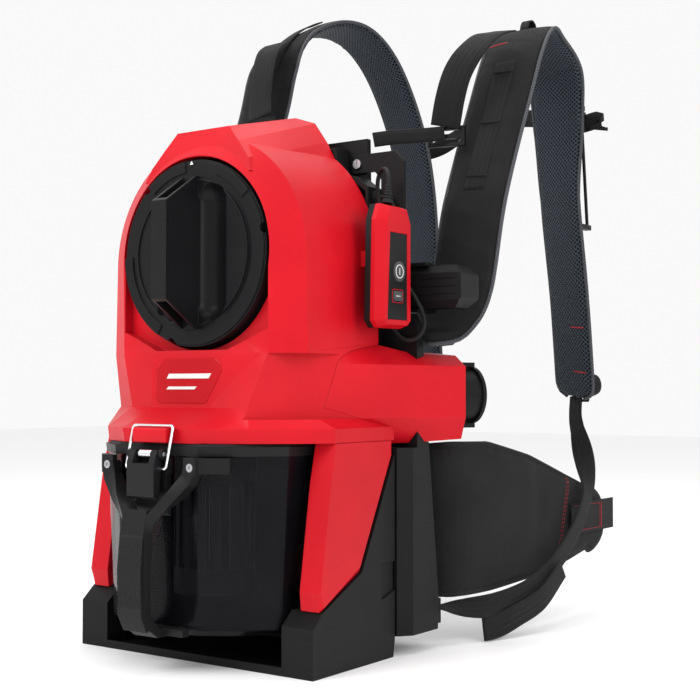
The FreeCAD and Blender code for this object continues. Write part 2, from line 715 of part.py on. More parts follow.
def make_cup_handle():
    arms = []
    for sign in (1, -1):
        path = [(sign * 55, -123, 200), (sign * 51, -125, 186), (sign * 34, -131, 168), (sign * 14, -138, 150),
                (sign * 8, -141, 138)]
        across = [(1, 0, 0), (1, 0, 0), (1, 0, 0.9), (1, 0, 0.8), (1, 0, 0.2)]
        if sign < 0:
            across = [(x, y, -z) for x, y, z in across]
        arms.append(band(path, across, 15, 11))
        wing = [(sign * 47, -123.5, 0), (sign * 62, -117.5, 0), (sign * 62, -129.5, 0), (sign * 47, -129.5, 0)]
        lug = Part.Face(wire([(x, y, 190) for x, y, z in wing])).extrude(Vector(0, 0, 17.5))
        arm = [(sign * 58, -118.4, 0), (sign * 84, -100.4, 0), (sign * 86, -107, 0), (sign * 62, -124, 0)]
        reach = Part.Face(wire([(x, y, 192) for x, y, z in arm])).extrude(Vector(0, 0, 15))
        arms.extend([lug, reach])
    grip = band([(0, -139, 156), (0, -144, 132), (0, -147, 100), (0, -146, 58), (0, -139, 44)],
                [(1, 0, 0)] * 5, 31, 13)
    foot = band([(0, -142, 49), (0, -128, 38.5), (0, -116, 38.5)], [(1, 0, 0)] * 3, 31, 9)
    toe = block((-15.5, 40), (-122, -112.6), (36, 43))
    cup = loft([
        flat(both_sides(offset(CUP_LOW, -6)), dim("cup_bottom")),
        flat(both_sides(CUP_LOW), dim("cup_bottom") + 6),
        flat(both_sides(offset(CUP_TOP, 0.1)), dim("cup_top")),
        flat(both_sides(offset(CUP_TOP, 0.1)), dim("cup_top") + 0.05),
    ])
    handle = grip.fuse(arms + [foot, toe]).cut(cup)
    ring = loft([flat(both_sides(offset(CUP_TOP, 1)), dim("cup_top")),
                 flat(both_sides(offset(CUP_TOP, 1.8)), dim("cup_top") + 9)])
    handle = handle.cut(ring)
    screws = []
    for sign in (1, -1):
        spot = (sign * 55, -130.5, 198)
        handle = handle.cut(rod(spot, (sign * 55, -127, 198), 4.2))
        screws.append(rod((sign * 55, -129.6, 198), (sign * 55, -127.05, 198), 4).cut(
            rod((sign * 55, -130, 198), (sign * 55, -128.4, 198), 1.6)))
    node(feature("CupHandle", biggest(handle)), "cup_handle")
    node(feature("HandleScrews", Part.makeCompound(screws)), "handle_screws")


def make_latch():
    pin_y = dim("pin_front")
    pin_z = dim("pin_height")
    pin_r = dim("pin_radius")
    plate = slab([(-116.6, 150), (-121, 153), (-124, 160), (-124, 206), (-117.6, 206)], -20, 20)
    ear_outline = [(-121, 200), (-128, 204), (-134, 207), (-134, 213), (-130, 215), (-126, 213), (-121, 207)]
    ears = [slab(ear_outline, 19, 22.5), slab(ear_outline, -22.5, -19)]
    shoulders = [slab([(-117.9, 190), (-124, 190), (-124, 206.5), (-118.1, 206.5)], 19, 22.5),
                 slab([(-117.9, 190), (-124, 190), (-124, 206.5), (-118.1, 206.5)], -22.5, -19)]
    cup = loft([
        flat(both_sides(CUP_LOW), dim("cup_bottom") + 6),
        flat(both_sides(offset(CUP_TOP, 0.1)), dim("cup_top")),
    ])
    mount = plate.fuse(ears + shoulders).cut(cup).cut(rod((-30, pin_y, pin_z), (30, pin_y, pin_z), pin_r))
    node(feature("LatchMount", mount.removeSplitter()), "latch_mount")

    body = new_body("LatchLever")
    front = [
        ("pin_front - 4", "pin_height + 4"),
        ("pin_front + 4", "pin_height + 4"),
        ("pin_front + 4", "pin_height - 6"),
        ("pin_front + 0.5", "pin_height - 20"),
        ("pin_front - 1", "pin_height - 40"),
        ("pin_front - 4", "pin_height - 43"),
        ("pin_front - 9", "pin_height - 41"),
        ("pin_front - 9", "pin_height - 8"),
    ]
    pad(body, "X", front, "-18", "18")
    pocket(body, "Y", rectangle("-11", "11", "pin_height - 9", "pin_height + 6"), "pin_front - 20", "pin_front + 9")
    lever = cut("LeverBored", body, cylinder("LeverBore", "pin_radius + 0.05", ("-40", "pin_front", "pin_height"),
                                             "80", (1, 0, 0)))
    sockets = [
        cylinder("BailSocketRight", "wire_radius + 0.08", ("14", "pin_front - 1", "pin_height - 14"), "10", (1, 0, 0)),
        cylinder("BailSocketLeft", "wire_radius + 0.08", ("-24", "pin_front - 1", "pin_height - 14"), "10", (1, 0, 0)),
    ]
    node(cut("LeverFinished", lever, fuse("BailSockets", sockets)), "latch_lever")
    node(cylinder("LatchPin", "pin_radius", ("-23.5", "pin_front", "pin_height"), "47", (1, 0, 0)), "latch_pin")

    coils = []
    for i in range(8):
        ring = Part.makeTorus(3.1, 0.9, Vector(-7 + 2 * i, pin_y, pin_z), Vector(1, 0, 0))
        coils.append(ring)
    spring = coils[0].fuse(coils[1:])
    node(feature("LatchSpring", spring), "latch_spring")

    side = 26.5
    low = pin_z - 14
    front_y = pin_y - 1
    route = [(14.5, front_y, low), (side, front_y, low), (side, -121, 237), (-side, -121, 237),
             (-side, front_y, low), (-14.5, front_y, low)]
    node(feature("WireBail", bail_tube(route)), "wire_bail")


def bail_tube(points):
    """A bent wire whose bends have a 3 mm radius at the centre line."""
    path = [Vector(*p) for p in points]
    edges = []
    start = path[0]
    for i in range(1, len(path) - 1):
        back = (path[i - 1] - path[i]).normalize()
        ahead = (path[i + 1] - path[i]).normalize()
        turn = math.pi - back.getAngle(ahead)
        radius = 3
        reach = radius * math.tan(turn / 2)
        middle = path[i] + (back + ahead).normalize() * (radius / math.cos(turn / 2) - radius)
        edges.append(Part.LineSegment(start, path[i] + back * reach).toShape())
        edges.append(Part.Arc(path[i] + back * reach, middle, path[i] + ahead * reach).toShape())
        start = path[i] + ahead * reach
    edges.append(Part.LineSegment(start, path[-1]).toShape())
    direction = path[1] - path[0]
    ring = Part.Wire([Part.makeCircle(dim("wire_radius"), path[0], direction)])
    return Part.Wire(edges).makePipeShell([ring], True, True, 2)


# ================================================================ remote control

REMOTE = [(34, 459), (70, 459), (78, 441), (78, 341), (71, 334), (31, 334), (24, 341), (27, 443)]
REMOTE_FACE = [(37, 455), (67, 455), (74, 440), (74, 342), (68, 337), (33, 337), (29, 342), (33, 440)]
FACE_PLATE = [(37, 430), (68, 430), (68, 342), (32, 342)]


def across_x(corners, place):
    return [(place, y, z) for y, z in corners]


def make_remote():
    rear = dim("remote_rear")
    split = dim("remote_split")
    front = dim("remote_front")
    shell = loft([across_x(REMOTE, split + 0.05), across_x(REMOTE, split + 5), across_x(REMOTE_FACE, front)])
    inner = [(y + (4 if y < 50 else -4), z + (5 if z < 400 else -5)) for y, z in REMOTE]
    shell = shell.cut(slab(inner, split - 1, front - 5))
    plate_hole = slab(FACE_PLATE, front - 2, front + 1)
    shell = shell.cut(plate_hole)
    power_centre = (53, 391)
    mode_centre = (51, 366)
    power_hole = rod((front - 8, *power_centre), (front + 2, *power_centre), dim("button_radius") + 0.4)
    mode_hole = block((front - 8, front + 2), (mode_centre[0] - 8.4, mode_centre[0] + 8.4),
                      (mode_centre[1] - 5.4, mode_centre[1] + 5.4))
    node(feature("RemoteFront", shell.cut(power_hole).cut(mode_hole)), "remote_front")
    back_shape = loft([across_x(REMOTE_FACE, rear), across_x(REMOTE, rear + 3), across_x(REMOTE, split)])
    back_inner = [(y + (3.5 if y < 50 else -3.5), z + (4 if z < 400 else -4)) for y, z in REMOTE]
    back_shape = back_shape.cut(slab(back_inner, rear + 4, split + 1))
    node(feature("RemoteBack", back_shape), "remote_back")
    plate = slab([(y + (0.1 if y < 50 else -0.1), z + (0.1 if z < 400 else -0.1)) for y, z in FACE_PLATE],
                 front - 1.9, front - 0.6)
    node(feature("RemoteFace", plate.cut(power_hole).cut(mode_hole)), "remote_face")
    node(cylinder("PowerButton", "button_radius", ("remote_front - 6", power_centre[0], power_centre[1]),
                  "6.4", (1, 0, 0)), "power_button")
    node(box("ModeButton", ("remote_front - 6", "remote_front + 0.2"),
             (mode_centre[0] - 8, mode_centre[0] + 8), (mode_centre[1] - 5, mode_centre[1] + 5)), "mode_button")
    node(box("RemoteBoard", ("remote_split + 0.5", "remote_split + 2.1"), ("34", "69"), ("346", "438")),
         "remote_board")
    dock_arm = slab([(40, 397), (60, 397), (60, 413), (40, 413)], 133.4, rear - 2.4)
    dock_plate = slab([(36, 385), (66, 385), (66, 425), (36, 425)], rear - 2.4, rear - 0.1)
    dock = dock_arm.fuse(dock_plate).cut(housing_form)
    node(feature("RemoteDock", dock.removeSplitter()), "remote_dock")


# The remote's cord, from the strain relief over the top, down behind the remote, round its hanging loop
# and back up to the gland on the rear housing.
CORD_ROUTE = [
    (159, 53, 480), (159, 54, 488), (154.5, 57, 496), (146.5, 62, 499.5), (139, 66.5, 496), (134.5, 69, 487.5),
    (133.5, 71.5, 475), (135, 74, 455), (138, 78, 430), (143, 84, 406), (153, 90, 386), (166, 92, 368),
    (176, 93, 350), (178, 92, 335), (170, 89.5, 324), (157, 87, 322), (145, 86, 331), (136, 86, 348),
    (131, 86.5, 371), (130, 86.5, 396), (134, 86, 420), (141, 85.5, 440), (145, 85, 455), (143.5, 84.5, 466),
    (137, 84, 474), (127, 84, 474),
]
GLAND = (84, 474)


def make_cord():
    radius = dim("cord_diameter") / 2
    solid, spine, radii = tube(CORD_ROUTE, radius)
    expected = math.pi * radius ** 2 * spine.Length
    print("cord length %.0f, volume ratio %.4f" % (spine.Length, solid.Volume / expected))
    print("cord radii", ["%.0f" % value for value in radii])
    node(feature("RemoteCord", solid), "remote_cord")
    start = Vector(*CORD_ROUTE[0])
    axis = (Vector(*CORD_ROUTE[1]) - start).normalize()
    relief = Part.makeCone(6, 3.6, 19.5, start - axis * 19.5, axis)
    for i in range(5):
        groove = Part.makeCylinder(9, 1.4, start - axis * (15.5 - 3 * i), axis)
        core = Part.makeCylinder(4.4 - 0.25 * i, 1.4, start - axis * (15.5 - 3 * i), axis)
        relief = relief.cut(groove.cut(core))
    relief = relief.cut(block((140, 180), (20, 90), (400, 459.05)))
    node(feature("StrainRelief", relief), "strain_relief")
    gland = rod((122.05, *GLAND), (124.2, *GLAND), 7).fuse(rod((124, *GLAND), (127, *GLAND), 4.5))
    node(feature("CordGland", gland), "cord_gland")


# ================================================================ black rear housing, frame, hook

REAR_OUTLINE = [(122, 62), (122, 484), (106, 496), (83, 502.5), (80, 530)]
REAR_OUTLINE = REAR_OUTLINE + [(-x, z) for x, z in reversed(REAR_OUTLINE)]


def make_rear_housing():
    body = new_body("RearHousing")
    pad(body, "Y", REAR_OUTLINE, "base_rear + 0.3", "frame_front - 0.1")
    inner = [(x - 4 * (1 if x > 0 else -1), z + (4 if z < 300 else -4)) for x, z in REAR_OUTLINE]
    pocket(body, "Y", inner, "base_rear - 1", "frame_front - 4")
    for x, z in ((105, 150), (-105, 150), (90, 440), (-90, 440)):
        hole = [(x - 3, z - 3), (x + 3, z - 3), (x + 3, z + 3), (x - 3, z + 3)]
        pocket(body, "Y", hole, "frame_front - 8", "frame_front + 1")
    node(body, "rear_housing")


def make_back_frame():
    body = new_body("BackFrame")
    profile = [
        ("frame_front", "frame_bottom"),
        ("134", "frame_bottom"),
        ("136", "50"),
        ("117", "213"),
        ("106", "320"),
        ("101", "frame_top"),
        ("frame_front", "frame_top"),
    ]
    pad(body, "X", profile, "-frame_half", "frame_half")
    corner = [("104", "frame_top + 1"), ("104", "470"), ("frame_half + 1", "335"), ("frame_half + 1", "frame_top + 1")]
    pocket(body, "Y", corner, "frame_front - 10", "150")
    pocket(body, "Y", mirrored(corner), "frame_front - 10", "150")
    cheek = [("125", "72.5"), ("156", "72.5"), ("frame_half", "86"), ("frame_half", "frame_front + 1"),
             ("125", "frame_front + 1")]
    pad(body, "Z", cheek, "frame_bottom", "212")
    pad(body, "Z", mirrored(cheek), "frame_bottom", "212")
    hollow = [
        ("frame_front - 1", "frame_bottom - 1"),
        ("130", "frame_bottom - 1"),
        ("131", "50"),
        ("113", "209"),
        ("102", "316"),
        ("frame_front - 1", "316"),
    ]
    pocket(body, "X", hollow, "-frame_half + 45", "frame_half - 45")
    clearances = [
        feature("DuctClearance", duct_solid(0.4, DUCT_LENGTH + 60)),
        box("GrabNotch", ("-24", "24"), ("90", "150"), ("500", "560")),
        box("BayClearance", ("battery_inner - 5", "200"), ("90", "150"), ("battery_bottom - 5", "battery_top + 5")),
    ]
    for i, (x, z) in enumerate(((105, 150), (-105, 150), (90, 440), (-90, 440))):
        clearances.append(cylinder("ScrewHole%d" % i, "3.2", (x, "90", z), "30", (0, 1, 0)))
        clearances.append(cylinder("ScrewSink%d" % i, "6", (x, "98", z), "60", (0, 1, 0)))
    node(cut("FrameCut", body, fuse("FrameClearances", clearances)), "back_frame")
    screws = []
    for x, z in ((105, 150), (-105, 150), (90, 440), (-90, 440)):
        shank = rod((x, 86, z), (x, 98, z), 2.9)
        head = rod((x, 98, z), (x, 100.5, z), 5.5)
        slot = block((x - 1, x + 1), (99.5, 101), (z - 4, z + 4))
        screws.append(shank.fuse(head).cut(slot))
    node(feature("FrameScrews", Part.makeCompound(screws)), "frame_screws")


def make_hook():
    outline = [(87, 503), (87, 523), (141, 523), (153, 511), (153, 456), (124, 456), (124, 494), (116, 503)]
    hook_rear = dim("frame_front") - 0.05
    hook_front = hook_rear - dim("hook_thick")
    plate = Part.Face(wire(upright(outline, hook_rear))).extrude(Vector(0, -dim("hook_thick"), 0))
    plate = plate.cut(rod((94, 80, 513), (94, 100, 513), 3.1))
    node(feature("HookPlate", plate), "hook_plate")
    head = rod((94, hook_front - 2.6, 513), (94, hook_front - 0.05, 513), 5).fuse(
        rod((94, hook_front - 0.1, 513), (94, hook_front + 1.6, 513), 3))
    slot = block((93.3, 94.7), (hook_front - 3, hook_front - 1.6), (509, 517))
    node(feature("HookScrew", head.cut(slot)), "hook_screw")


def make_battery():
    body = new_body("BatteryPack")
    outline = [
        ("battery_front", "battery_bottom + 8"),
        ("battery_front + 6", "battery_bottom"),
        ("battery_rear - 6", "battery_bottom"),
        ("battery_rear", "battery_bottom + 8"),
        ("battery_rear", "battery_top - 8"),
        ("battery_rear - 6", "battery_top"),
        ("battery_front + 6", "battery_top"),
        ("battery_front", "battery_top - 8"),
    ]
    pad(body, "X", outline, "battery_inner", "battery_outer")
    for height in (14, 22, 30):
        rib = rectangle("battery_outer - 52", "battery_outer - 6", "battery_bottom + %g" % (height - 1),
                        "battery_bottom + %g" % (height + 0.4))
        pocket(body, "Y", rib, "battery_front - 1", "battery_front + 0.9")
    corner_high = [("battery_outer + 1", "battery_top + 1"), ("battery_outer - 11", "battery_top + 1"),
                   ("battery_outer + 1", "battery_top - 11")]
    corner_low = [("battery_outer + 1", "battery_bottom - 1"), ("battery_outer + 1", "battery_bottom + 11"),
                  ("battery_outer - 11", "battery_bottom - 1")]
    pocket(body, "Y", corner_high, "battery_front - 1", "battery_rear + 1")
    pocket(body, "Y", corner_low, "battery_front - 1", "battery_rear + 1")
    pocket(body, "Z", rectangle("battery_outer - 40", "battery_outer - 22", "108", "122"),
           "battery_top - 5", "battery_top + 1")
    node(body, "battery_pack")
    node(box("BatteryRelease", ("battery_outer - 39.6", "battery_outer - 22.4"), ("108.4", "121.6"),
             ("battery_top - 2", "battery_top + 1.2")), "battery_release")
    bay = block((96, 99.6), (97, 133), (352.5, 404))
    bay = bay.fuse([
        block((96, 176), (97.2, 112), (400.6, 403.8)),
        block((96, 166), (97.2, 133), (352.4, 355.6)),
    ])
    node(feature("BatteryBay", bay.removeSplitter()), "battery_bay")


def make_carry_handle():
    route = [(-28, 104, 536), (-28, 106, 549), (-19, 107.5, 556), (19, 107.5, 556), (28, 106, 549), (28, 104, 536)]
    solid, spine, radii = tube(route, 5)
    handle = solid.cut(frame_block)
    node(feature("GrabHandle", handle), "grab_handle")


# ================================================================ inner parts

def make_inner_parts():
    can = cylinder("MotorCan", "motor_radius", ("0", "5", "262"), "40")
    boss = cylinder("MotorBoss", "16", ("0", "5", "302"), "6")
    bore = cylinder("MotorBore", "4.05", ("0", "5", "250"), "40")
    node(cut("MotorBored", fuse("MotorSolid", [can, boss]), bore), "motor")
    ring = cut("MotorRing", cylinder("MotorRingOuter", "motor_radius + 8", ("0", "5", "272"), "10"),
               cylinder("MotorRingInner", "motor_radius + 0.05", ("0", "5", "271"), "12"))
    node(ring, "motor_mount")


def make_impeller():
    """A disc with nine vanes round the motor's shaft."""
    radius = dim("impeller_radius")
    disc = Part.makeCylinder(radius, 3, Vector(0, 5, 241.5))
    hub = Part.makeCylinder(10, 16, Vector(0, 5, 243))
    shaft = Part.makeCylinder(4, 32, Vector(0, 5, 257))
    blades = []
    for i in range(9):
        blade = Part.makeBox(radius - 12, 2, 15, Vector(8, 4, 243.5))
        blade.rotate(Vector(0, 5, 0), Vector(0, 0, 1), 40 * i)
        blades.append(blade)
    node(feature("Impeller", disc.fuse([hub, shaft] + blades).removeSplitter()), "impeller")


# ================================================================ harness

RIGHT_PAD = [(150, 124, 328), (168, 143, 341), (178, 163, 379), (186, 181, 478), (194, 223, 593), (195, 253, 654),
             (188, 290, 684), (181, 329, 684), (180, 384, 656), (176, 404, 592), (174, 412, 506), (180, 424, 383),
             (178, 445, 262)]
RIGHT_ACROSS = [(1, 0, 0)] * 8 + [(0.99, -0.1, 0), (0.966, -0.26, 0), (0.88, -0.47, 0), (0.875, -0.485, 0),
                                  (0.875, -0.485, 0)]
LEFT_PAD = [(-150, 124, 328), (-160, 140, 341), (-158, 155, 400), (-150, 180, 500), (-136, 210, 610),
            (-128, 224, 676), (-116, 252, 716), (-104, 300, 740), (-93, 350, 739), (-82, 391, 708),
            (-72, 424, 650), (-66, 448, 582), (-64, 462, 500), (-66, 470, 395), (-70, 486, 290)]
RIGHT_LIFTER = [(194, 212, 664), (184, 190, 650), (170, 176, 624), (161, 172, 590), (153, 175, 560)]
RIGHT_ANCHOR = [(150, 171, 553), (137, 152, 549), (118, 126, 545), (101, 105, 541)]
LEFT_LIFTER = [(-122, 214, 700), (-114, 194, 684), (-112, 180, 656), (-109, 172, 620), (-104, 166, 600)]
LEFT_ANCHOR = [(-103, 162, 593), (-100, 144, 574), (-94, 116, 552), (-90, 105, 541)]
RIGHT_WEB = [(178, 448, 254), (184, 436, 222), (202, 420, 180), (214, 398, 142), (214, 360, 100), (210, 310, 66),
             (204, 255, 46), (190, 200, 37), (160, 150, 38)]
RIGHT_WEB_ACROSS = [(0.875, -0.485, 0), (0.9, -0.4, 0.1), (0.5, 0.6, 0.2), (0, 0.8, -0.5), (0, 0.7, -0.7),
                    (0, 0.5, -0.8), (0, 0.3, -0.9), (0.35, 0, -0.9), (1, 0, 0)]
RIGHT_TAIL = [(219, 322, 66), (217, 275, 38), (208, 232, 24), (198, 205, 15), (191, 188, 13.5)]
RIGHT_TAIL_ACROSS = [(0, 0.35, 0.94)] * 5
LEFT_WEB = [(-70, 489, 281), (-84, 452, 200), (-104, 400, 130), (-126, 330, 78), (-148, 240, 52), (-158, 180, 40),
            (-160, 150, 38)]
WING_PLAN = [(132, 146), (166, 163), (180, 216), (187, 300), (190, 390), (192, 490)]
WING_LOW = [52, 50, 51, 56, 66, 84]
WING_HIGH = [212, 215, 214, 196, 168, 138]


def make_shoulder_pads():
    sideways = (1, 0, 0)
    turned = (0.94, -0.34, 0)
    right = band(RIGHT_PAD, RIGHT_ACROSS, dim("pad_width"), dim("pad_thick"))
    across = [sideways] * 6 + [turned] * (len(LEFT_PAD) - 6)
    left = band(LEFT_PAD, across, dim("pad_width"), dim("pad_thick"))
    node(feature("ShoulderPadRight", right), "shoulder_pad_right")
    node(feature("ShoulderPadLeft", left), "shoulder_pad_left")
    return right, left


def make_lifters(right_pad, left_pad):
    sideways = (1, 0, 0)
    thick = dim("webbing_thick")
    width = dim("lifter_width")
    anchor_thick = 3
    right = biggest(band(RIGHT_LIFTER, [(1, 0.25, 0)] * 5, width, thick).cut(right_pad))
    right_anchor = band(RIGHT_ANCHOR, [(0, 0, 1)] * 4, 16, anchor_thick).cut(frame_block)
    left = biggest(band(LEFT_LIFTER, [sideways] * 5, width, thick).cut(left_pad))
    left_anchor = band(LEFT_ANCHOR, [sideways] * 4, 30, anchor_thick).cut(frame_block)
    node(feature("LifterRight", Part.makeCompound([right, biggest(right_anchor)])), "load_lifter_right")
    node(feature("LifterLeft", Part.makeCompound([left, biggest(left_anchor)])), "load_lifter_left")


def wing_solid():
    sections = []
    thick = dim("wing_thick") / 2
    for i, (x, y) in enumerate(WING_PLAN):
        before = Vector(*WING_PLAN[max(i - 1, 0)], 0)
        after = Vector(*WING_PLAN[min(i + 1, len(WING_PLAN) - 1)], 0)
        along = (after - before).normalize()
        side = Vector(along.y, -along.x, 0) * thick
        corners = [(x - side.x, y - side.y, WING_LOW[i]), (x + side.x, y + side.y, WING_LOW[i]),
                   (x + side.x, y + side.y, WING_HIGH[i]), (x - side.x, y - side.y, WING_HIGH[i])]
        sections.append(corners)
    return loft(sections)


def make_hip_wings():
    wing = wing_solid()
    node(feature("HipWingRight", wing), "hip_wing_right")
    node(feature("HipWingLeft", mirror_x(wing)), "hip_wing_left")
    outside = [(x + 8.6, y - 2.2, (low + high) / 2 + 4) for (x, y), low, high in
               zip(WING_PLAN[2:], WING_LOW[2:], WING_HIGH[2:])]
    outside.append((outside[-1][0] + 1, outside[-1][1] + 12, outside[-1][2]))
    belt = band(outside, [(0, 0, 1)] * len(outside), 38, 2).cut(wing)
    belt = biggest(belt)
    node(feature("HipWebbing", Part.makeCompound([belt, mirror_x(belt)])), "hip_webbing")


def make_lower_webbing(right_pad, left_pad):
    width = dim("webbing_width")
    thick = dim("webbing_thick")
    across = (1, 0, 0)
    right = band(RIGHT_WEB, RIGHT_WEB_ACROSS, width, thick).cut(right_pad)
    tail = band(RIGHT_TAIL, RIGHT_TAIL_ACROSS, width, thick)
    left = band(LEFT_WEB, [across] * len(LEFT_WEB), width, thick).cut(left_pad)
    node(feature("LowerWebbingRight", Part.makeCompound([biggest(right), tail])), "lower_webbing_right")
    node(feature("LowerWebbingLeft", biggest(left)), "lower_webbing_left")


def ladder_lock(width, length):
    """A frame with two windows and a middle bar, flat in X and Z, 6 mm thick."""
    plate = block((-width / 2, width / 2), (-3, 3), (-length / 2, length / 2))
    window_half = width / 2 - 4
    for low, high in ((-length / 2 + 4, -2.5), (2.5, length / 2 - 4)):
        plate = plate.cut(block((-window_half, window_half), (-4, 4), (low, high)))
    return plate


def make_buckles():
    locks = []
    for x in (148, -148):
        lock = ladder_lock(34, 26)
        lock.translate(Vector(x, 140.1, 38))
        locks.append(lock)
    node(feature("LowerBuckles", Part.makeCompound(locks)), "lower_buckles")
    right = ladder_lock(42, 22)
    right.rotate(Vector(), Vector(0, 0, 1), 14)
    right.translate(Vector(152, 179, 550))
    right = right.cut(NODES["load_lifter_right"].Shape)
    left = ladder_lock(42, 22)
    left.translate(Vector(-104, 168, 588))
    left = left.cut(NODES["load_lifter_left"].Shape)
    node(feature("LifterBuckles", Part.makeCompound([biggest(right), biggest(left)])), "lifter_buckles")


# The sternum strap's two rails lean back with the pads.  Each is given by its place at 600 mm.
RAIL_LEAN = Vector(0, -0.11, 1).normalize()
RAIL_PLACES = [(203, 413, 600), (-60, 465, 600)]


def make_sternum(right_pad, left_pad):
    rails = []
    sliders = []
    for place in RAIL_PLACES:
        middle = Vector(*place)
        top = middle + RAIL_LEAN * 16
        bottom = middle - RAIL_LEAN * 130
        rail = Part.makeCylinder(2, 146, bottom, RAIL_LEAN)
        for end in (top, bottom):
            foot = block((end.x - 4, end.x + 4), (end.y - 32, end.y + 3), (end.z - 3, end.z + 3))
            rail = rail.fuse(foot)
        rails.append(biggest(rail.cut(right_pad).cut(left_pad)))
        slider = Part.makeCylinder(5.5, 24, middle - RAIL_LEAN * 13, RAIL_LEAN)
        sliders.append(slider.cut(Part.makeCylinder(2.2, 40, middle - RAIL_LEAN * 20, RAIL_LEAN)))
    node(feature("SternumRails", Part.makeCompound(rails)), "sternum_rails")
    node(feature("SternumSliders", Part.makeCompound(sliders)), "sternum_sliders")
    route = [(222, 418, 601), (203, 420, 599), (180, 429, 604), (150, 442, 614), (90, 463, 626),
             (30, 475, 628), (-10, 481, 618), (-38, 476, 604), (-60, 472, 599), (-76, 472, 598)]
    strap = band(route, [(0, 0, 1)] * len(route), dim("webbing_width") - 2, dim("webbing_thick"))
    for slider in sliders:
        strap = strap.cut(slider)
    node(feature("SternumStrap", biggest(strap)), "sternum_strap")


def make_back_pad():
    outline = [(136.5, 80), (118.5, 213), (107.5, 320), (102.5, 490), (113, 496), (122, 320), (134, 213),
               (151, 84)]
    pad_solid = slab(outline, -94, 94).cut(frame_block)
    for low, high in ((196, 202), (312, 318), (404, 410)):
        pad_solid = pad_solid.cut(block((-100, 100), (dim_y(low) + 7, 160), (low, high)))
    node(feature("BackPad", biggest(pad_solid)), "back_pad")


def dim_y(height):
    """The back frame's rear face at a height."""
    if height < 213:
        return 136 - (height - 50) * 19 / 163
    return 117 - (height - 213) * 11 / 107 if height < 320 else 106 - (height - 320) * 5 / 220


# ================================================================ build

make_base_tray()
make_leg_covers()
housing_form = housing_envelope()
make_front_housing(housing_form)
make_duct(housing_form)
make_catch_block()
make_filter_lid()
make_filter_cartridge()
make_dust_cup()
make_prefilter()
make_cup_handle()
make_latch()
make_rear_housing()
make_remote()
make_cord()
make_back_frame()
make_hook()
make_battery()
doc.recompute()
frame_block = NODES["back_frame"].Shape
make_carry_handle()
make_inner_parts()
make_impeller()
pad_right, pad_left = make_shoulder_pads()
make_lifters(pad_right, pad_left)
make_hip_wings()
make_lower_webbing(pad_right, pad_left)
make_buckles()
make_sternum(pad_right, pad_left)
make_back_pad()
doc.recompute()

for item in doc.Objects:
    if "Invalid" in item.State or "Error" in item.State:
        raise RuntimeError("failed object: " + item.Name)
os.makedirs("parts", exist_ok=True)
for name, item in NODES.items():
    if item.Shape.isNull() or not item.Shape.isValid():
        raise RuntimeError("bad shape: " + name)
for name, item in NODES.items():
    item.Shape.exportStep("parts/%s.step" % name)
print(len(NODES), "nodes")
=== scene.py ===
import json
import math

import bpy
from mathutils import Euler, Matrix, Vector, noise
from mathutils.kdtree import KDTree

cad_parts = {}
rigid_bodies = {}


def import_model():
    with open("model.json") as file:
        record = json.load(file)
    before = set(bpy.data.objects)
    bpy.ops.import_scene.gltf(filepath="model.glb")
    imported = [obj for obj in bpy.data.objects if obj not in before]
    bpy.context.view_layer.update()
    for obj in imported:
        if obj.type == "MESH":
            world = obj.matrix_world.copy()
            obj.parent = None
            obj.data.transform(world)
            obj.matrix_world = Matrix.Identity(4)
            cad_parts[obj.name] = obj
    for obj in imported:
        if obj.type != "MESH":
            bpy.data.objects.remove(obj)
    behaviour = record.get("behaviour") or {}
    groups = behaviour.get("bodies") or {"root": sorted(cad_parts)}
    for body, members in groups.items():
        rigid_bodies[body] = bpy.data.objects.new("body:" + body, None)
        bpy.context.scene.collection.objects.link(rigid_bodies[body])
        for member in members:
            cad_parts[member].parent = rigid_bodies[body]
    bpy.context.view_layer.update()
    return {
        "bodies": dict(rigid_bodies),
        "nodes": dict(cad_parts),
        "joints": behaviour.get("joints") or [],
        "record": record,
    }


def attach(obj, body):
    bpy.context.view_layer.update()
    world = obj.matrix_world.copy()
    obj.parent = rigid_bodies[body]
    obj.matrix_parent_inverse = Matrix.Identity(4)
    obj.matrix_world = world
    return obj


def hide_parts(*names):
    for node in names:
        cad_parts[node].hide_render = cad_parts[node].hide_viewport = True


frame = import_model()
NODES = frame["nodes"]
MM = 0.001


# ---------------------------------------------------------------- camera, light and floor

def add_camera():
    data = bpy.data.cameras.new("camera")
    data.lens = 66.3
    data.sensor_width = 36
    camera = bpy.data.objects.new("camera", data)
    camera.location = (0.8868, -1.0319, 0.2731)
    camera.rotation_euler = Euler((math.radians(90 + 1.706), 0, math.radians(35.57)))
    bpy.context.scene.collection.objects.link(camera)
    bpy.context.scene.camera = camera


def add_area_light(name, place, target, size, power, colour=(1, 1, 1)):
    data = bpy.data.lights.new(name, "AREA")
    data.shape = "RECTANGLE"
    data.size, data.size_y = size
    data.energy = power
    data.color = colour
    light = bpy.data.objects.new(name, data)
    light.location = place
    aim = Vector(target) - Vector(place)
    light.rotation_euler = aim.to_track_quat("-Z", "Y").to_euler()
    bpy.context.scene.collection.objects.link(light)


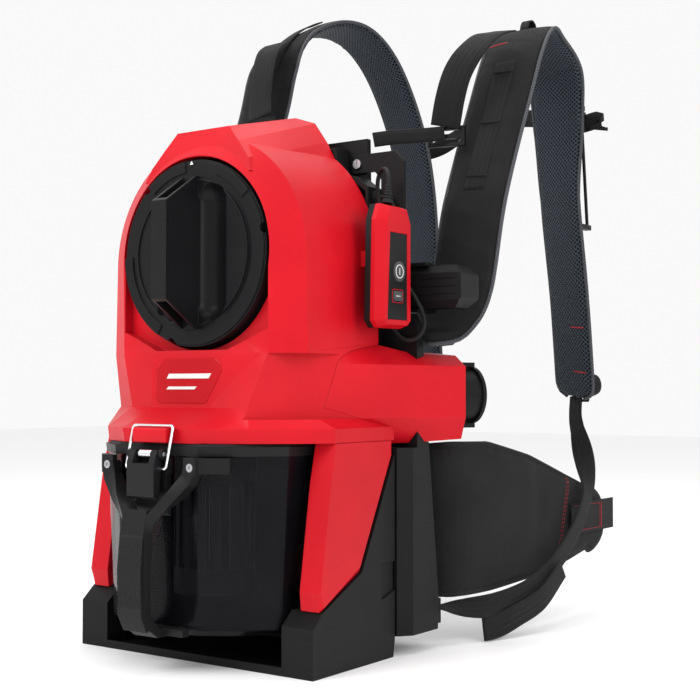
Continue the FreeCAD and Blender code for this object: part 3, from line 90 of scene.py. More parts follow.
def add_studio():
    world = bpy.data.worlds.new("studio")
    world.use_nodes = True
    background = world.node_tree.nodes["Background"]
    background.inputs["Color"].default_value = (1, 1, 1, 1)
    background.inputs["Strength"].default_value = 0.95
    bpy.context.scene.world = world
    bpy.context.scene.view_settings.view_transform = "Standard"
    add_area_light("key_light", (-0.5, -1.6, 1.6), (0, 0, 0.3), (1.2, 1.0), 26)
    add_area_light("side_light", (1.9, -0.5, 1.1), (0, 0.1, 0.3), (0.8, 1.4), 16)
    add_area_light("top_light", (0.1, 0.3, 2.0), (0, 0.1, 0.3), (1.4, 1.4), 18)
    mesh = bpy.data.meshes.new("floor")
    size = 6
    mesh.from_pydata([(-size, -size, 0), (size, -size, 0), (size, size, 0), (-size, size, 0)],
                     [], [(0, 1, 2, 3)])
    floor = bpy.data.objects.new("floor", mesh)
    bpy.context.scene.collection.objects.link(floor)
    paint = bpy.data.materials.new("floor_paint")
    paint.use_nodes = True
    shader = paint.node_tree.nodes["Principled BSDF"]
    shader.inputs["Base Color"].default_value = (0.92, 0.92, 0.92, 1)
    shader.inputs["Roughness"].default_value = 0.7
    mesh.materials.append(paint)


add_camera()
add_studio()


# ---------------------------------------------------------------- materials

class Look:
    """A node material with short ways to add and join nodes."""

    def __init__(self, name, colour, roughness, metallic=0.0):
        self.material = bpy.data.materials.new(name)
        self.material.use_nodes = True
        self.tree = self.material.node_tree
        self.shader = self.tree.nodes["Principled BSDF"]
        self.set(self.shader, "Base Color", (*colour, 1))
        self.set(self.shader, "Roughness", roughness)
        self.set(self.shader, "Metallic", metallic)
        self.normal = None

    def set(self, node, name, value):
        if isinstance(value, bpy.types.NodeSocket):
            self.tree.links.new(value, node.inputs[name])
        else:
            node.inputs[name].default_value = value

    def add(self, kind, inputs=None, **settings):
        node = self.tree.nodes.new(kind)
        for key, value in settings.items():
            setattr(node, key, value)
        for name, value in (inputs or {}).items():
            self.set(node, name, value)
        return node

    def math(self, operation, first, second=0.0, clamp=False):
        return self.add("ShaderNodeMath", {0: first, 1: second},
                        operation=operation, use_clamp=clamp).outputs[0]

    def ramp(self, value, low, high):
        """0 below low, 1 above high, straight between."""
        node = self.add("ShaderNodeMapRange", {"Value": value, "From Min": low, "From Max": high})
        return node.outputs["Result"]

    def mix(self, amount, first, second):
        node = self.add("ShaderNodeMix", {"Factor": amount}, data_type="RGBA")
        for index, value in ((6, first), (7, second)):
            if isinstance(value, bpy.types.NodeSocket):
                self.tree.links.new(value, node.inputs[index])
            else:
                node.inputs[index].default_value = (*value, 1)
        return node.outputs[2]

    def object_place(self):
        return self.add("ShaderNodeTexCoord").outputs["Object"]

    def metric_uv(self, turn=0.0, stretch=(1, 1)):
        """The UV map, which holds metres, turned by an angle in degrees."""
        place = self.add("ShaderNodeTexCoord").outputs["UV"]
        mapping = self.add("ShaderNodeMapping", {"Vector": place})
        mapping.inputs["Rotation"].default_value[2] = math.radians(turn)
        mapping.inputs["Scale"].default_value = (stretch[0], stretch[1], 1)
        return mapping.outputs["Vector"]

    def noise(self, place, scale, detail=2.0):
        node = self.add("ShaderNodeTexNoise", {"Vector": place, "Scale": scale, "Detail": detail})
        return node.outputs["Fac"]

    def bump(self, height, distance, strength=1.0):
        node = self.add("ShaderNodeBump", {"Height": height, "Distance": distance, "Strength": strength})
        if self.normal is not None:
            self.set(node, "Normal", self.normal)
        self.normal = node.outputs["Normal"]
        self.set(self.shader, "Normal", self.normal)

    def diamonds(self, first, second, pitch):
        """A grid of small pyramids turned by 45 degrees, over two coordinates in metres."""
        rising = self.math("ADD", first, second)
        falling = self.math("SUBTRACT", first, second)
        one = self.math("PINGPONG", rising, pitch / 2)
        other = self.math("PINGPONG", falling, pitch / 2)
        return self.math("MULTIPLY", self.math("MINIMUM", one, other), 2 / pitch)

    def round_edges(self, radius):
        node = self.add("ShaderNodeBevel", {"Radius": radius}, samples=4)
        self.normal = node.outputs["Normal"]
        self.set(self.shader, "Normal", self.normal)
        flat = self.add("ShaderNodeNewGeometry").outputs["Normal"]
        dot = self.add("ShaderNodeVectorMath", {0: node.outputs["Normal"], 1: flat}, operation="DOT_PRODUCT")
        return self.math("SUBTRACT", 1.0, dot.outputs["Value"])


def moulded_look(name, colour, roughness, grain=0.00004, edge=0.0008, wear=0.25):
    """Moulded plastic: fine grain, slight colour and gloss variation, and edges lightened in colour, partly
    as worn plastic and partly as a painted highlight.
    """
    look = Look(name, colour, roughness)
    place = look.object_place()
    rubbed_and_highlit = look.ramp(look.round_edges(edge), 0.01, 0.25)
    cloud = look.noise(place, 9, 4)
    darker = [c * 0.88 for c in colour]
    lighter = [min(1, c * 1.06 + 0.0006) for c in colour]
    base = look.mix(look.ramp(cloud, 0.35, 0.65), darker, lighter)
    # Edges lightened in colour: partly worn plastic, partly a painted highlight along the edges.
    worn_highlight_colour = [min(1, c * 1.3 + 0.012) for c in colour]
    base = look.mix(look.math("MULTIPLY", rubbed_and_highlit, wear), base, worn_highlight_colour)
    look.set(look.shader, "Base Color", base)
    fine = look.noise(place, 1500, 2)
    smudge = look.noise(place, 40, 5)
    gloss = look.math("MULTIPLY_ADD", smudge, 0.12, clamp=True)
    gloss.node.inputs[2].default_value = roughness - 0.06
    look.set(look.shader, "Roughness", gloss)
    look.bump(fine, grain)
    look.set(look.shader, "Specular IOR Level", 0.14)
    return look


def moulded(*args, **settings):
    return moulded_look(*args, **settings).material


def lid_plastic(name, colour, roughness):
    """Lid plastic whose grip bar has a fine knurl on its front face."""
    look = moulded_look(name, colour, roughness, grain=0.00005, edge=0.0012, wear=0.3)
    place = look.add("ShaderNodeSeparateXYZ", {"Vector": look.object_place()})
    front = look.ramp(place.outputs[1], -0.1136, -0.1142)
    ridges = look.diamonds(place.outputs[0], place.outputs[2], 0.0022)
    look.bump(look.math("MULTIPLY", ridges, front), 0.0009)
    return look.material


def knurled(name, colour, roughness):
    """Handle plastic whose grip has rows of raised diamonds on its front."""
    look = moulded_look(name, colour, roughness, grain=0.00005, edge=0.0012, wear=0.3)
    place = look.add("ShaderNodeSeparateXYZ", {"Vector": look.object_place()})
    low = look.ramp(place.outputs[2], 0.062, 0.066)
    high = look.ramp(place.outputs[2], 0.134, 0.13)
    front = look.ramp(place.outputs[1], -0.149, -0.1505)
    ridges = look.diamonds(place.outputs[0], place.outputs[2], 0.0034)
    area = look.math("MULTIPLY", look.math("MULTIPLY", low, high), front)
    look.bump(look.math("MULTIPLY", ridges, area), 0.0012)
    return look.material


def rubbery(name, colour):
    look = Look(name, colour, 0.62)
    look.set(look.shader, "Specular IOR Level", 0.2)
    place = look.object_place()
    look.round_edges(0.0006)
    look.bump(look.noise(place, 900, 3), 0.00006)
    dust = look.ramp(look.noise(place, 60, 4), 0.5, 0.8)
    look.set(look.shader, "Base Color", look.mix(dust, colour, [c * 1.6 + 0.004 for c in colour]))
    return look.material


def metal(name, colour, roughness, edge=0.0004):
    look = Look(name, colour, roughness, 1.0)
    place = look.object_place()
    look.round_edges(edge)
    brushed = look.noise(place, 300, 6)
    look.bump(brushed, 0.00002)
    gloss = look.math("MULTIPLY_ADD", brushed, 0.2)
    gloss.node.inputs[2].default_value = roughness - 0.08
    look.set(look.shader, "Roughness", gloss)
    return look.material


def smoked_clear(name, colour):
    """Clear tinted plastic, more solid where it is seen at a low angle."""
    look = Look(name, colour, 0.08)
    facing = look.add("ShaderNodeLayerWeight", {"Blend": 0.3}).outputs["Facing"]
    streak = look.noise(look.object_place(), 18, 3)
    solid = look.math("MULTIPLY_ADD", facing, 0.3)
    solid.node.inputs[2].default_value = 0.32
    look.set(look.shader, "Alpha", look.math("ADD", solid, look.math("MULTIPLY", streak, 0.08), clamp=True))
    look.set(look.shader, "Specular IOR Level", 0.16)
    look.bump(look.noise(look.object_place(), 25, 2), 0.0002)
    return look.material


def paper(name, colour):
    look = Look(name, colour, 0.9)
    place = look.object_place()
    look.bump(look.noise(place, 1200, 3), 0.0001)
    dust = look.ramp(look.noise(place, 50, 5), 0.45, 0.75)
    look.set(look.shader, "Base Color", look.mix(dust, colour, [c * 0.7 for c in colour]))
    return look.material


def woven(name, colour, pitch, strength=1.0, sheen=0.25):
    """Plain woven cloth on a UV map in metres, threads at the given pitch."""
    look = Look(name, colour, 0.85)
    look.set(look.shader, "Specular IOR Level", 0.15)
    place = look.metric_uv()
    split = look.add("ShaderNodeSeparateXYZ", {"Vector": place})
    turns = 2 * math.pi / pitch
    across = look.math("SINE", look.math("MULTIPLY", split.outputs[0], turns))
    along = look.math("SINE", look.math("MULTIPLY", split.outputs[1], turns))
    threads = look.math("MULTIPLY", across, along)
    flecks = look.noise(place, 900, 3)
    height = look.math("ADD", threads, look.math("MULTIPLY", flecks, 0.6))
    look.bump(height, pitch * 0.12, strength)
    creases = look.noise(place, 22, 3)
    look.bump(creases, 0.004, 0.35)
    cloud = look.ramp(look.noise(place, 14, 4), 0.3, 0.75)
    dark = [c * 0.7 for c in colour]
    light = [min(1, c * 1.35 + 0.004) for c in colour]
    shade = look.mix(cloud, dark, light)
    # Painted highlight: the crests of the threads are mixed towards the lighter colour.
    top = look.ramp(threads, -0.9, 0.9)
    look.set(look.shader, "Base Color", look.mix(look.math("MULTIPLY", top, 0.3), shade, light))
    look.set(look.shader, "Sheen Weight", sheen)
    look.set(look.shader, "Sheen Roughness", 0.4)
    return look.material


def spacer_mesh(name, thread, hole_shade, pitch):
    """Knitted spacer mesh: rows of round holes, every other row shifted by half."""
    look = Look(name, thread, 0.7)
    look.set(look.shader, "Specular IOR Level", 0.15)
    place = look.metric_uv(turn=45)
    cells = look.add("ShaderNodeTexVoronoi", {"Vector": place, "Scale": 1 / pitch, "Randomness": 0.06},
                     voronoi_dimensions="2D")
    rim = look.ramp(cells.outputs["Distance"], 0.24, 0.42)
    fibres = look.noise(place, 1400, 2)
    light = [min(1, c * 1.5 + 0.006) for c in thread]
    thread_colour = look.mix(fibres, thread, light)
    # The holes get a flat dark colour: painted shade for the depth of the mesh seen through them.
    look.set(look.shader, "Base Color", look.mix(rim, hole_shade, thread_colour))
    look.bump(rim, pitch * 0.25)
    look.bump(look.noise(place, 16, 3), 0.004, 0.3)
    look.set(look.shader, "Sheen Weight", 0.05)
    look.set(look.shader, "Sheen Roughness", 0.4)
    return look.material


def webbing_cloth(name, colour, pitch=0.0016):
    """Woven strap: slanting ribs that meet in rows of chevrons."""
    look = Look(name, colour, 0.7)
    look.set(look.shader, "Specular IOR Level", 0.15)
    place = look.metric_uv()
    split = look.add("ShaderNodeSeparateXYZ", {"Vector": place})
    width = look.math("PINGPONG", split.outputs[0], 0.003)
    slope = look.math("ADD", split.outputs[1], width)
    ribs = look.math("SINE", look.math("MULTIPLY", slope, 2 * math.pi / pitch))
    look.bump(ribs, pitch * 0.2)
    # Painted light and shade on the ribs: crests mixed towards the lighter colour, hollows towards the darker
    # one.
    top = look.ramp(ribs, -1, 1)
    light = [min(1, c * 1.7 + 0.003) for c in colour]
    fade = look.noise(place, 30, 3)
    base = look.mix(look.math("MULTIPLY", top, 0.6), [c * 0.6 for c in colour], light)
    look.set(look.shader, "Base Color", look.mix(look.math("MULTIPLY", fade, 0.35), base, light))
    look.set(look.shader, "Sheen Weight", 0.04)
    return look.material


def thread_look(name, colour):
    look = Look(name, colour, 0.6)
    place = look.object_place()
    look.bump(look.noise(place, 2500, 2), 0.00008)
    look.set(look.shader, "Base Color",
             look.mix(look.noise(place, 400, 2), [c * 0.7 for c in colour], colour))
    return look.material


RED = (0.5, 0.0045, 0.012)
LOOKS = {
    "red": moulded("red_plastic", RED, 0.38, grain=0.00003, edge=0.0011, wear=0.16),
    "black": moulded("black_plastic", (0.0055, 0.0055, 0.006), 0.46, grain=0.00012),
    "lid": lid_plastic("lid_plastic", (0.006, 0.006, 0.0068), 0.36),
    "tray": moulded("tray_plastic", (0.006, 0.006, 0.0064), 0.48, grain=0.0001, edge=0.0014, wear=0.3),
    "charcoal": moulded("charcoal_plastic", (0.01, 0.0102, 0.011), 0.4, grain=0.00005, wear=0.35),
    "handle": knurled("handle_plastic", (0.0085, 0.0086, 0.0093), 0.42),
    "rubber": rubbery("rubber", (0.009, 0.009, 0.0095)),
    "button": rubbery("button_rubber", (0.045, 0.048, 0.052)),
    "cable": rubbery("cable_jacket", (0.007, 0.007, 0.0075)),
    "spring": metal("spring_steel", (0.78, 0.78, 0.8), 0.22),
    "zinc": metal("zinc_steel", (0.42, 0.42, 0.44), 0.36),
    "motor": metal("cast_aluminium", (0.5, 0.5, 0.52), 0.5),
    "clear": smoked_clear("smoked_clear", (0.006, 0.006, 0.008)),
    "paper": paper("filter_paper", (0.72, 0.72, 0.68)),
    "board": moulded("board_lacquer", (0.01, 0.09, 0.04), 0.3),
    "nylon": woven("black_nylon", (0.0085, 0.0083, 0.0085), 0.0011, sheen=0.04),
    "mesh": spacer_mesh("spacer_mesh", (0.028, 0.036, 0.048), (0.002, 0.002, 0.0025), 0.0038),
    "mesh_edge": spacer_mesh("mesh_edging", (0.075, 0.08, 0.088), (0.012, 0.012, 0.013), 0.0026),
    "strap": webbing_cloth("black_webbing", (0.0075, 0.0075, 0.0078)),
    "binding": webbing_cloth("binding_tape", (0.01, 0.01, 0.011), 0.0012),
    "red_thread": thread_look("red_thread", (0.36, 0.006, 0.014)),
    "red_gloss": moulded("label_plastic", (0.42, 0.004, 0.01), 0.2, grain=0.00001, edge=0.0004),
    "white": moulded("white_mark", (0.7, 0.7, 0.68), 0.5),
}

NODE_LOOKS = {
    "front_housing": "red", "left_leg_cover": "red", "right_leg_cover": "red", "intake_duct": "red",
    "catch_block": "red", "latch_mount": "charcoal", "remote_front": "red", "remote_dock": "red",
    "base_tray": "tray", "hose_port": "lid", "filter_lid": "lid", "rear_housing": "black",
    "back_frame": "black", "hook_plate": "black", "battery_pack": "black", "battery_bay": "black",
    "grab_handle": "black", "cup_handle": "handle", "remote_back": "black", "sternum_rails": "black",
    "sternum_sliders": "black", "lower_buckles": "black", "lifter_buckles": "black",
    "cup_collar": "charcoal", "prefilter_cage": "charcoal", "latch_lever": "charcoal",
    "remote_face": "charcoal", "battery_release": "charcoal", "impeller": "charcoal",
    "lid_gasket": "rubber", "filter_seal": "rubber", "cup_seal": "rubber", "motor_mount": "rubber",
    "strain_relief": "rubber", "cord_gland": "rubber", "power_button": "button", "mode_button": "button",
    "latch_spring": "spring", "wire_bail": "spring", "latch_pin": "zinc", "handle_screws": "zinc",
    "frame_screws": "zinc", "hook_screw": "zinc", "motor": "motor", "dust_cup": "clear",
    "filter_cartridge": "paper", "remote_board": "board",
}


def paint(obj, *looks):
    obj.data.materials.clear()
    for look in looks:
        obj.data.materials.append(LOOKS[look])


def crisp(obj, angle=30):
    """Smooth shading with sharp edges where faces meet at more than the angle."""
    weld = obj.modifiers.new("weld", "WELD")
    weld.merge_threshold = 0.00001
    split = obj.modifiers.new("split", "EDGE_SPLIT")
    split.split_angle = math.radians(angle)
    obj.data.shade_smooth()


FACETED = ("front_housing", "intake_duct", "left_leg_cover", "right_leg_cover", "remote_front")
for node_name, node_look in NODE_LOOKS.items():
    paint(NODES[node_name], node_look)
    crisp(NODES[node_name], 13 if node_name in FACETED else 30)


# ---------------------------------------------------------------- mesh helpers

def mesh_piece(name, points, faces, looks, body="machine", kinds=None):
    """A piece from points in metres.  kinds gives each face's place in looks."""
    mesh = bpy.data.meshes.new(name)
    mesh.from_pydata([tuple(point) for point in points], [], faces)
    mesh.update()
    piece = bpy.data.objects.new(name, mesh)
    bpy.context.scene.collection.objects.link(piece)
    paint(piece, *looks)
    if kinds:
        for polygon, kind in zip(mesh.polygons, kinds):
            polygon.material_index = kind
    mesh.shade_smooth()
    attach(piece, body)
    return piece


def catmull(points, i, t):
    p0 = points[max(i - 1, 0)]
    p1 = points[i]
    p2 = points[i + 1]
    p3 = points[min(i + 2, len(points) - 1)]
    a = (p2 - p0) * 0.5
    b = (p3 - p1) * 0.5
    return (p1 * (2 * t**3 - 3 * t**2 + 1) + a * (t**3 - 2 * t**2 + t)
            + p2 * (3 * t**2 - 2 * t**3) + b * (t**3 - t**2))


class Line:
    """A smooth line through points in millimetres, sampled evenly, with a width direction at each sample."""

    def __init__(self, points, across, spacing=6.0):
        points = [Vector(point) * MM for point in points]
        across = [Vector(side) for side in across]
        dense = []
        for i in range(len(points) - 1):
            for k in range(16):
                t = k / 16
                dense.append((catmull(points, i, t), across[i].lerp(across[i + 1], t)))
        dense.append((points[-1], across[-1]))
        reach = [0.0]
        for (first, _), (second, _) in zip(dense, dense[1:]):
            reach.append(reach[-1] + (second - first).length)
        self.length = reach[-1]
        count = max(4, round(self.length / (spacing * MM)))
        self.places = []
        self.reach = []
        sides = []
        k = 0
        for i in range(count + 1):
            goal = self.length * i / count
            while k < len(reach) - 2 and reach[k + 1] < goal:
                k += 1
            t = (goal - reach[k]) / max(reach[k + 1] - reach[k], 1e-9)
            self.places.append(dense[k][0].lerp(dense[k + 1][0], t))
            sides.append(dense[k][1].lerp(dense[k + 1][1], t))
            self.reach.append(goal)
        self.along = []
        self.side = []
        self.normal = []
        for i, side in enumerate(sides):
            along = (self.places[min(i + 1, count)] - self.places[max(i - 1, 0)]).normalized()
            side = (side - along * side.dot(along)).normalized()
            self.along.append(along)
            self.side.append(side)
            self.normal.append(along.cross(side))

    def point(self, i, across, out):
        """A point beside sample i, in millimetres across and out."""
        return self.places[i] + self.side[i] * (across * MM) + self.normal[i] * (out * MM)


def sweep(name, line, outline, looks, kind_of=None, body="machine"):
    """A closed solid along a line.  outline(i) gives each section's points in millimetres, across and out."""
    points = []
    faces = []
    kinds = []
    count = len(line.places)
    size = len(outline(0))
    for i in range(count):
        points.extend(line.point(i, across, out) for across, out in outline(i))
    for i in range(count - 1):
        for k in range(size):
            after = (k + 1) % size
            faces.append((i * size + k, i * size + after, (i + 1) * size + after, (i + 1) * size + k))
            kinds.append(kind_of(k) if kind_of else 0)
    faces.append(tuple(reversed(range(size))))
    faces.append(tuple(range((count - 1) * size, count * size)))
    kinds.extend([0, 0])
    piece = mesh_piece(name, points, faces, looks, body, kinds)
    lay_uv(piece, line)
    return piece


def lay_uv(piece, line, inner_look=None):
    """A UV map in metres: across the line, and along it.  Faces on the line's +normal side get inner_look."""
    tree = KDTree(len(line.places))
    for i, place in enumerate(line.places):
        tree.insert(place, i)
    tree.balance()
    flat = []
    for vertex in piece.data.vertices:
        _, i, _ = tree.find(vertex.co)
        away = vertex.co - line.places[i]
        flat.append((away.dot(line.side[i]), line.reach[i] + away.dot(line.along[i]),
                     away.dot(line.normal[i])))
    layer = piece.data.uv_layers.new(name="metres")
    for loop in piece.data.loops:
        across, along, _ = flat[loop.vertex_index]
        layer.data[loop.index].uv = (across, along)
    if inner_look is not None:
        for polygon in piece.data.polygons:
            out = sum(flat[i][2] for i in polygon.vertices) / len(polygon.vertices)
            polygon.material_index = inner_look if out > 0 else 0


def crowned(half, thick, edge, steps=12, power=3.0):
    """A lens-like section: flat in the middle, drawn in to a thin edge."""
    section = []
    for k in range(steps + 1):
        u = -1 + 2 * k / steps
        section.append((half * u, -(edge + (thick - edge) * (1 - abs(u) ** power))))
    for k in range(steps + 1):
        u = 1 - 2 * k / steps
        section.append((half * u, edge + (thick - edge) * (1 - abs(u) ** power)))
    return section


def strap_section(half, thick):
    """A flat woven strap with rounded edges."""
    return [(-half, 0), (-half + 0.6, -thick), (-half / 3, -thick), (half / 3, -thick),
            (half - 0.6, -thick), (half, 0), (half - 0.6, thick), (half / 3, thick),
            (-half / 3, thick), (-half + 0.6, thick)]


def strap(name, points, across, width, thick=1.0, look="strap", spacing=4.0, body="machine"):
    line = Line(points, across, spacing)
    return sweep(name, line, lambda i: strap_section(width / 2, thick), [look], body=body)


def cord_line(name, points, radius, look, closed=False, body="machine"):
    """A thin round line through points in metres, as a mesh tube."""
    count = len(points)
    sides = 8
    verts = []
    faces = []
    up = Vector((0.3, 0.2, 1)).normalized()
    for i, place in enumerate(points):
        before = points[i - 1] if i or closed else points[0]
        after = points[(i + 1) % count] if i < count - 1 or closed else points[-1]
        along = (after - before).normalized()
        side = along.cross(up).normalized()
        other = along.cross(side)
        for k in range(sides):
            turn = 2 * math.pi * k / sides
            verts.append(place + side * (radius * math.cos(turn)) + other * (radius * math.sin(turn)))
    for i in range(count if closed else count - 1):
        following = (i + 1) % count
        for k in range(sides):
            after = (k + 1) % sides
            faces.append((i * sides + k, i * sides + after, following * sides + after, following * sides + k))
    if not closed:
        faces.append(tuple(reversed(range(sides))))
        faces.append(tuple(range((count - 1) * sides, count * sides)))
    piece = mesh_piece(name, verts, faces, [look], body)
    layer = piece.data.uv_layers.new(name="metres")
    reach = [0.0]
    for first, second in zip(points, points[1:]):
        reach.append(reach[-1] + (second - first).length)
    for loop in piece.data.loops:
        i, k = divmod(loop.vertex_index, sides)
        layer.data[loop.index].uv = (k * radius * 0.8, reach[i])
    return piece


def baked(obj):
    """Replace an object's mesh by what its modifiers make of it."""
    depsgraph = bpy.context.evaluated_depsgraph_get()
    mesh = bpy.data.meshes.new_from_object(obj.evaluated_get(depsgraph))
    obj.modifiers.clear()
    obj.data = mesh


CLOTH_FRAMES = 20


def puff(pads, voxel=4.5, pressure=4.0, cap=2.0, sink=0.5):
    """Swell closed cloth forms by simulation.

    Each point keeps only its travel along its first normal, from sink millimetres inward to cap outward.
    """
    scene = bpy.context.scene
    rest = {}
    for pad in pads:
        remesh = pad.modifiers.new("remesh", "REMESH")
        remesh.mode = "VOXEL"
        remesh.voxel_size = voxel * MM
        baked(pad)
        rest[pad] = [(vertex.co.copy(), vertex.normal.copy()) for vertex in pad.data.vertices]
        cloth = pad.modifiers.new("cloth", "CLOTH")
        cloth.settings.use_pressure = True
        cloth.settings.uniform_pressure_force = pressure
        cloth.settings.effector_weights.gravity = 0
        cloth.settings.quality = 4
        cloth.settings.mass = 0.3
        cloth.settings.tension_stiffness = 8
        cloth.settings.compression_stiffness = 4
        cloth.settings.bending_stiffness = 0.2
        cloth.point_cache.frame_start = 1
        cloth.point_cache.frame_end = CLOTH_FRAMES
    for step in range(1, CLOTH_FRAMES + 1):
        scene.frame_set(step)
    for pad in pads:
        baked(pad)
    scene.frame_set(1)
    for pad in pads:
        for vertex, (start, normal) in zip(pad.data.vertices, rest[pad]):
            out = (vertex.co - start).dot(normal)
            vertex.co = start + normal * max(-sink * MM, min(out, cap * MM))
        subdivide = pad.modifiers.new("subdivide", "SUBSURF")
        subdivide.levels = 1
        subdivide.render_levels = 1
        baked(pad)
        pad.data.shade_smooth()


def crumple(pad, line, depth, side_of=-1):
    """Shallow folds across a pad on one of its sides, in millimetres."""
    tree = KDTree(len(line.places))
    for i, place in enumerate(line.places):
        tree.insert(place, i)
    tree.balance()
    for vertex in pad.data.vertices:
        _, i, _ = tree.find(vertex.co)
        away = vertex.co - line.places[i]
        out = away.dot(line.normal[i])
        if out * side_of < 0.001:
            continue
        reach = line.reach[i] + away.dot(line.along[i])
        across = away.dot(line.side[i])
        fold = noise.noise(Vector((reach * 26 + across * 8, across * 9, 3.1)))
        fine = noise.noise(Vector((reach * 70, across * 20, 7.7)))
        push = (abs(fold) ** 0.7 * -1.0 + 0.25 * fine) * depth * MM
        vertex.co += line.normal[i] * (side_of * push)


def stitches(name, corners, length=3.2, gap=1.6, radius=0.45, look="red_thread", onto=None, lift=0.4,
             aim=None, body="machine"):
    """A row of raised thread stitches along straight runs between points in millimetres."""
    verts = []
    faces = []
    for first, second in zip(corners, corners[1:]):
        first = Vector(first) * MM
        second = Vector(second) * MM
        run = second - first
        count = max(1, int(run.length / ((length + gap) * MM)))
        along = run.normalized()
        for k in range(count):
            middle = first + run * ((k + 0.5) / count)
            normal = Vector(aim).normalized() if aim else Vector((0, -1, 0))
            if onto is not None:
                hit, place, face_normal, _ = onto.ray_cast(middle - normal * -0.08, -normal)
                if not hit:
                    continue
                middle = place
                normal = face_normal
            tangent = (along - normal * along.dot(normal)).normalized()
            side = normal.cross(tangent)
            start = len(verts)
            half = length * MM / 2
            for end, scale in ((-1, 0.35), (-0.55, 1), (0.55, 1), (1, 0.35)):
                for turn in range(6):
                    angle = math.pi * turn / 3
                    offset = (side * math.cos(angle) + normal * math.sin(angle)) * (radius * MM * scale)
                    verts.append(middle + tangent * (half * end) + normal * (lift * MM * 0.5) + offset)
            for ring in range(3):
                for turn in range(6):
                    after = (turn + 1) % 6
                    low = start + ring * 6
                    faces.append((low + turn, low + after, low + 6 + after, low + 6 + turn))
            faces.append(tuple(start + k for k in reversed(range(6))))
            faces.append(tuple(start + 18 + k for k in range(6)))
    return mesh_piece(name, verts, faces, [look], body)


# ---------------------------------------------------------------- remote's cord

CORD_POINTS = [
    (0.159, 0.053, 0.480), (0.159, 0.054, 0.488), (0.1545, 0.057, 0.496), (0.1465, 0.062, 0.4995),
    (0.139, 0.0665, 0.496), (0.1345, 0.069, 0.4875), (0.1335, 0.0715, 0.475), (0.135, 0.074, 0.455),
    (0.138, 0.078, 0.430), (0.143, 0.084, 0.406), (0.153, 0.090, 0.386), (0.166, 0.092, 0.368),
    (0.176, 0.093, 0.350), (0.178, 0.092, 0.335), (0.170, 0.0895, 0.324), (0.157, 0.087, 0.322),
    (0.145, 0.086, 0.331), (0.136, 0.086, 0.348), (0.131, 0.0865, 0.371), (0.130, 0.0865, 0.396),
    (0.134, 0.086, 0.420), (0.141, 0.0855, 0.440), (0.145, 0.085, 0.455), (0.1435, 0.0845, 0.466),
    (0.137, 0.084, 0.474), (0.127, 0.084, 0.474),
]


def add_remote_cord():
    curve = bpy.data.curves.new("remote_control_cord", "CURVE")
    curve.dimensions = "3D"
    curve.bevel_depth = 0.0023
    curve.bevel_resolution = 4
    curve.resolution_u = 8
    curve.use_fill_caps = True
    spline = curve.splines.new("NURBS")
    spline.points.add(len(CORD_POINTS) - 1)
    for point, place in zip(spline.points, CORD_POINTS):
        point.co = (*place, 1)
    spline.order_u = 3
    spline.use_endpoint_u = True
    cord = bpy.data.objects.new("remote_control_cord", curve)
    bpy.context.scene.collection.objects.link(cord)
    curve.materials.append(LOOKS["cable"])
    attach(cord, "machine")
    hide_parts("remote_cord")


add_remote_cord()


# ---------------------------------------------------------------- shoulder pads

X_SIDE = (1, 0, 0)
TURNED = (0.94, -0.34, 0)
RIGHT_PAD = [(150, 124, 328), (168, 143, 341), (178, 163, 379), (186, 181, 478), (194, 223, 593),
             (195, 253, 654), (188, 290, 684), (181, 329, 684), (180, 384, 656), (176, 404, 592),
             (174, 412, 506), (180, 424, 383), (178, 445, 262)]
RIGHT_ACROSS = [X_SIDE] * 8 + [(0.99, -0.1, 0), (0.966, -0.26, 0), (0.88, -0.47, 0), (0.875, -0.485, 0),
                               (0.875, -0.485, 0)]
LEFT_PAD = [(-150, 124, 328), (-160, 140, 341), (-158, 155, 400), (-150, 180, 500), (-136, 210, 610),
            (-128, 224, 676), (-116, 252, 716), (-104, 300, 740), (-93, 350, 739), (-82, 391, 708),
            (-72, 424, 650), (-66, 448, 582), (-64, 462, 500), (-66, 470, 395), (-70, 486, 290)]


def rounded_width(line, i, half, start_round, end_round):
    """The half width where a strap's ends are rounded off."""
    inset = 0
    for distance, radius in ((line.reach[i] / MM, start_round),
                             ((line.length - line.reach[i]) / MM, end_round)):
        if distance < radius:
            inset = max(inset, radius - math.sqrt(max(radius**2 - (radius - distance) ** 2, 0)))
    return half - inset


def shoulder_pad(name, node, points, across):
    line = Line(points, across, 5.0)
    coarse = Line(points, across, 7.0)

    def outline(i):
        half = rounded_width(coarse, i, 36.5, 12, 20)
        return crowned(half + 1.5, 5.0, 3.0, steps=10)

    pad = sweep(name, coarse, outline, ["nylon", "mesh"])
    SOFT.append(pad)
    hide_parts(node)
    for tag, sign in (("a", -1), ("b", 1)):
        edge = []
        for i in range(len(line.places)):
            edge.append(line.point(i, sign * rounded_width(line, i, 38, 12, 20), 0.4))
        cord_line("%s_piping_%s" % (name, tag), edge, 0.0021, "mesh_edge")
    return pad, line


SOFT = []
right_pad, right_line = shoulder_pad("pad_right", "shoulder_pad_right", RIGHT_PAD, RIGHT_ACROSS)
left_pad, left_line = shoulder_pad("pad_left", "shoulder_pad_left", LEFT_PAD,
                                   [X_SIDE] * 6 + [TURNED] * (len(LEFT_PAD) - 6))


# ---------------------------------------------------------------- hip wings

WING_PLAN = [(132, 146), (166, 163), (180, 216), (187, 300), (190, 390), (192, 490)]
WING_LOW = [52, 50, 51, 56, 66, 84]
WING_HIGH = [212, 215, 214, 196, 168, 138]


def table_value(values, places, goal):
    for i in range(len(places) - 1):
        if goal <= places[i + 1]:
            t = (goal - places[i]) / (places[i + 1] - places[i])
            t = max(0, min(1, t))
            return values[i] * (1 - t) + values[i + 1] * t
    return values[-1]


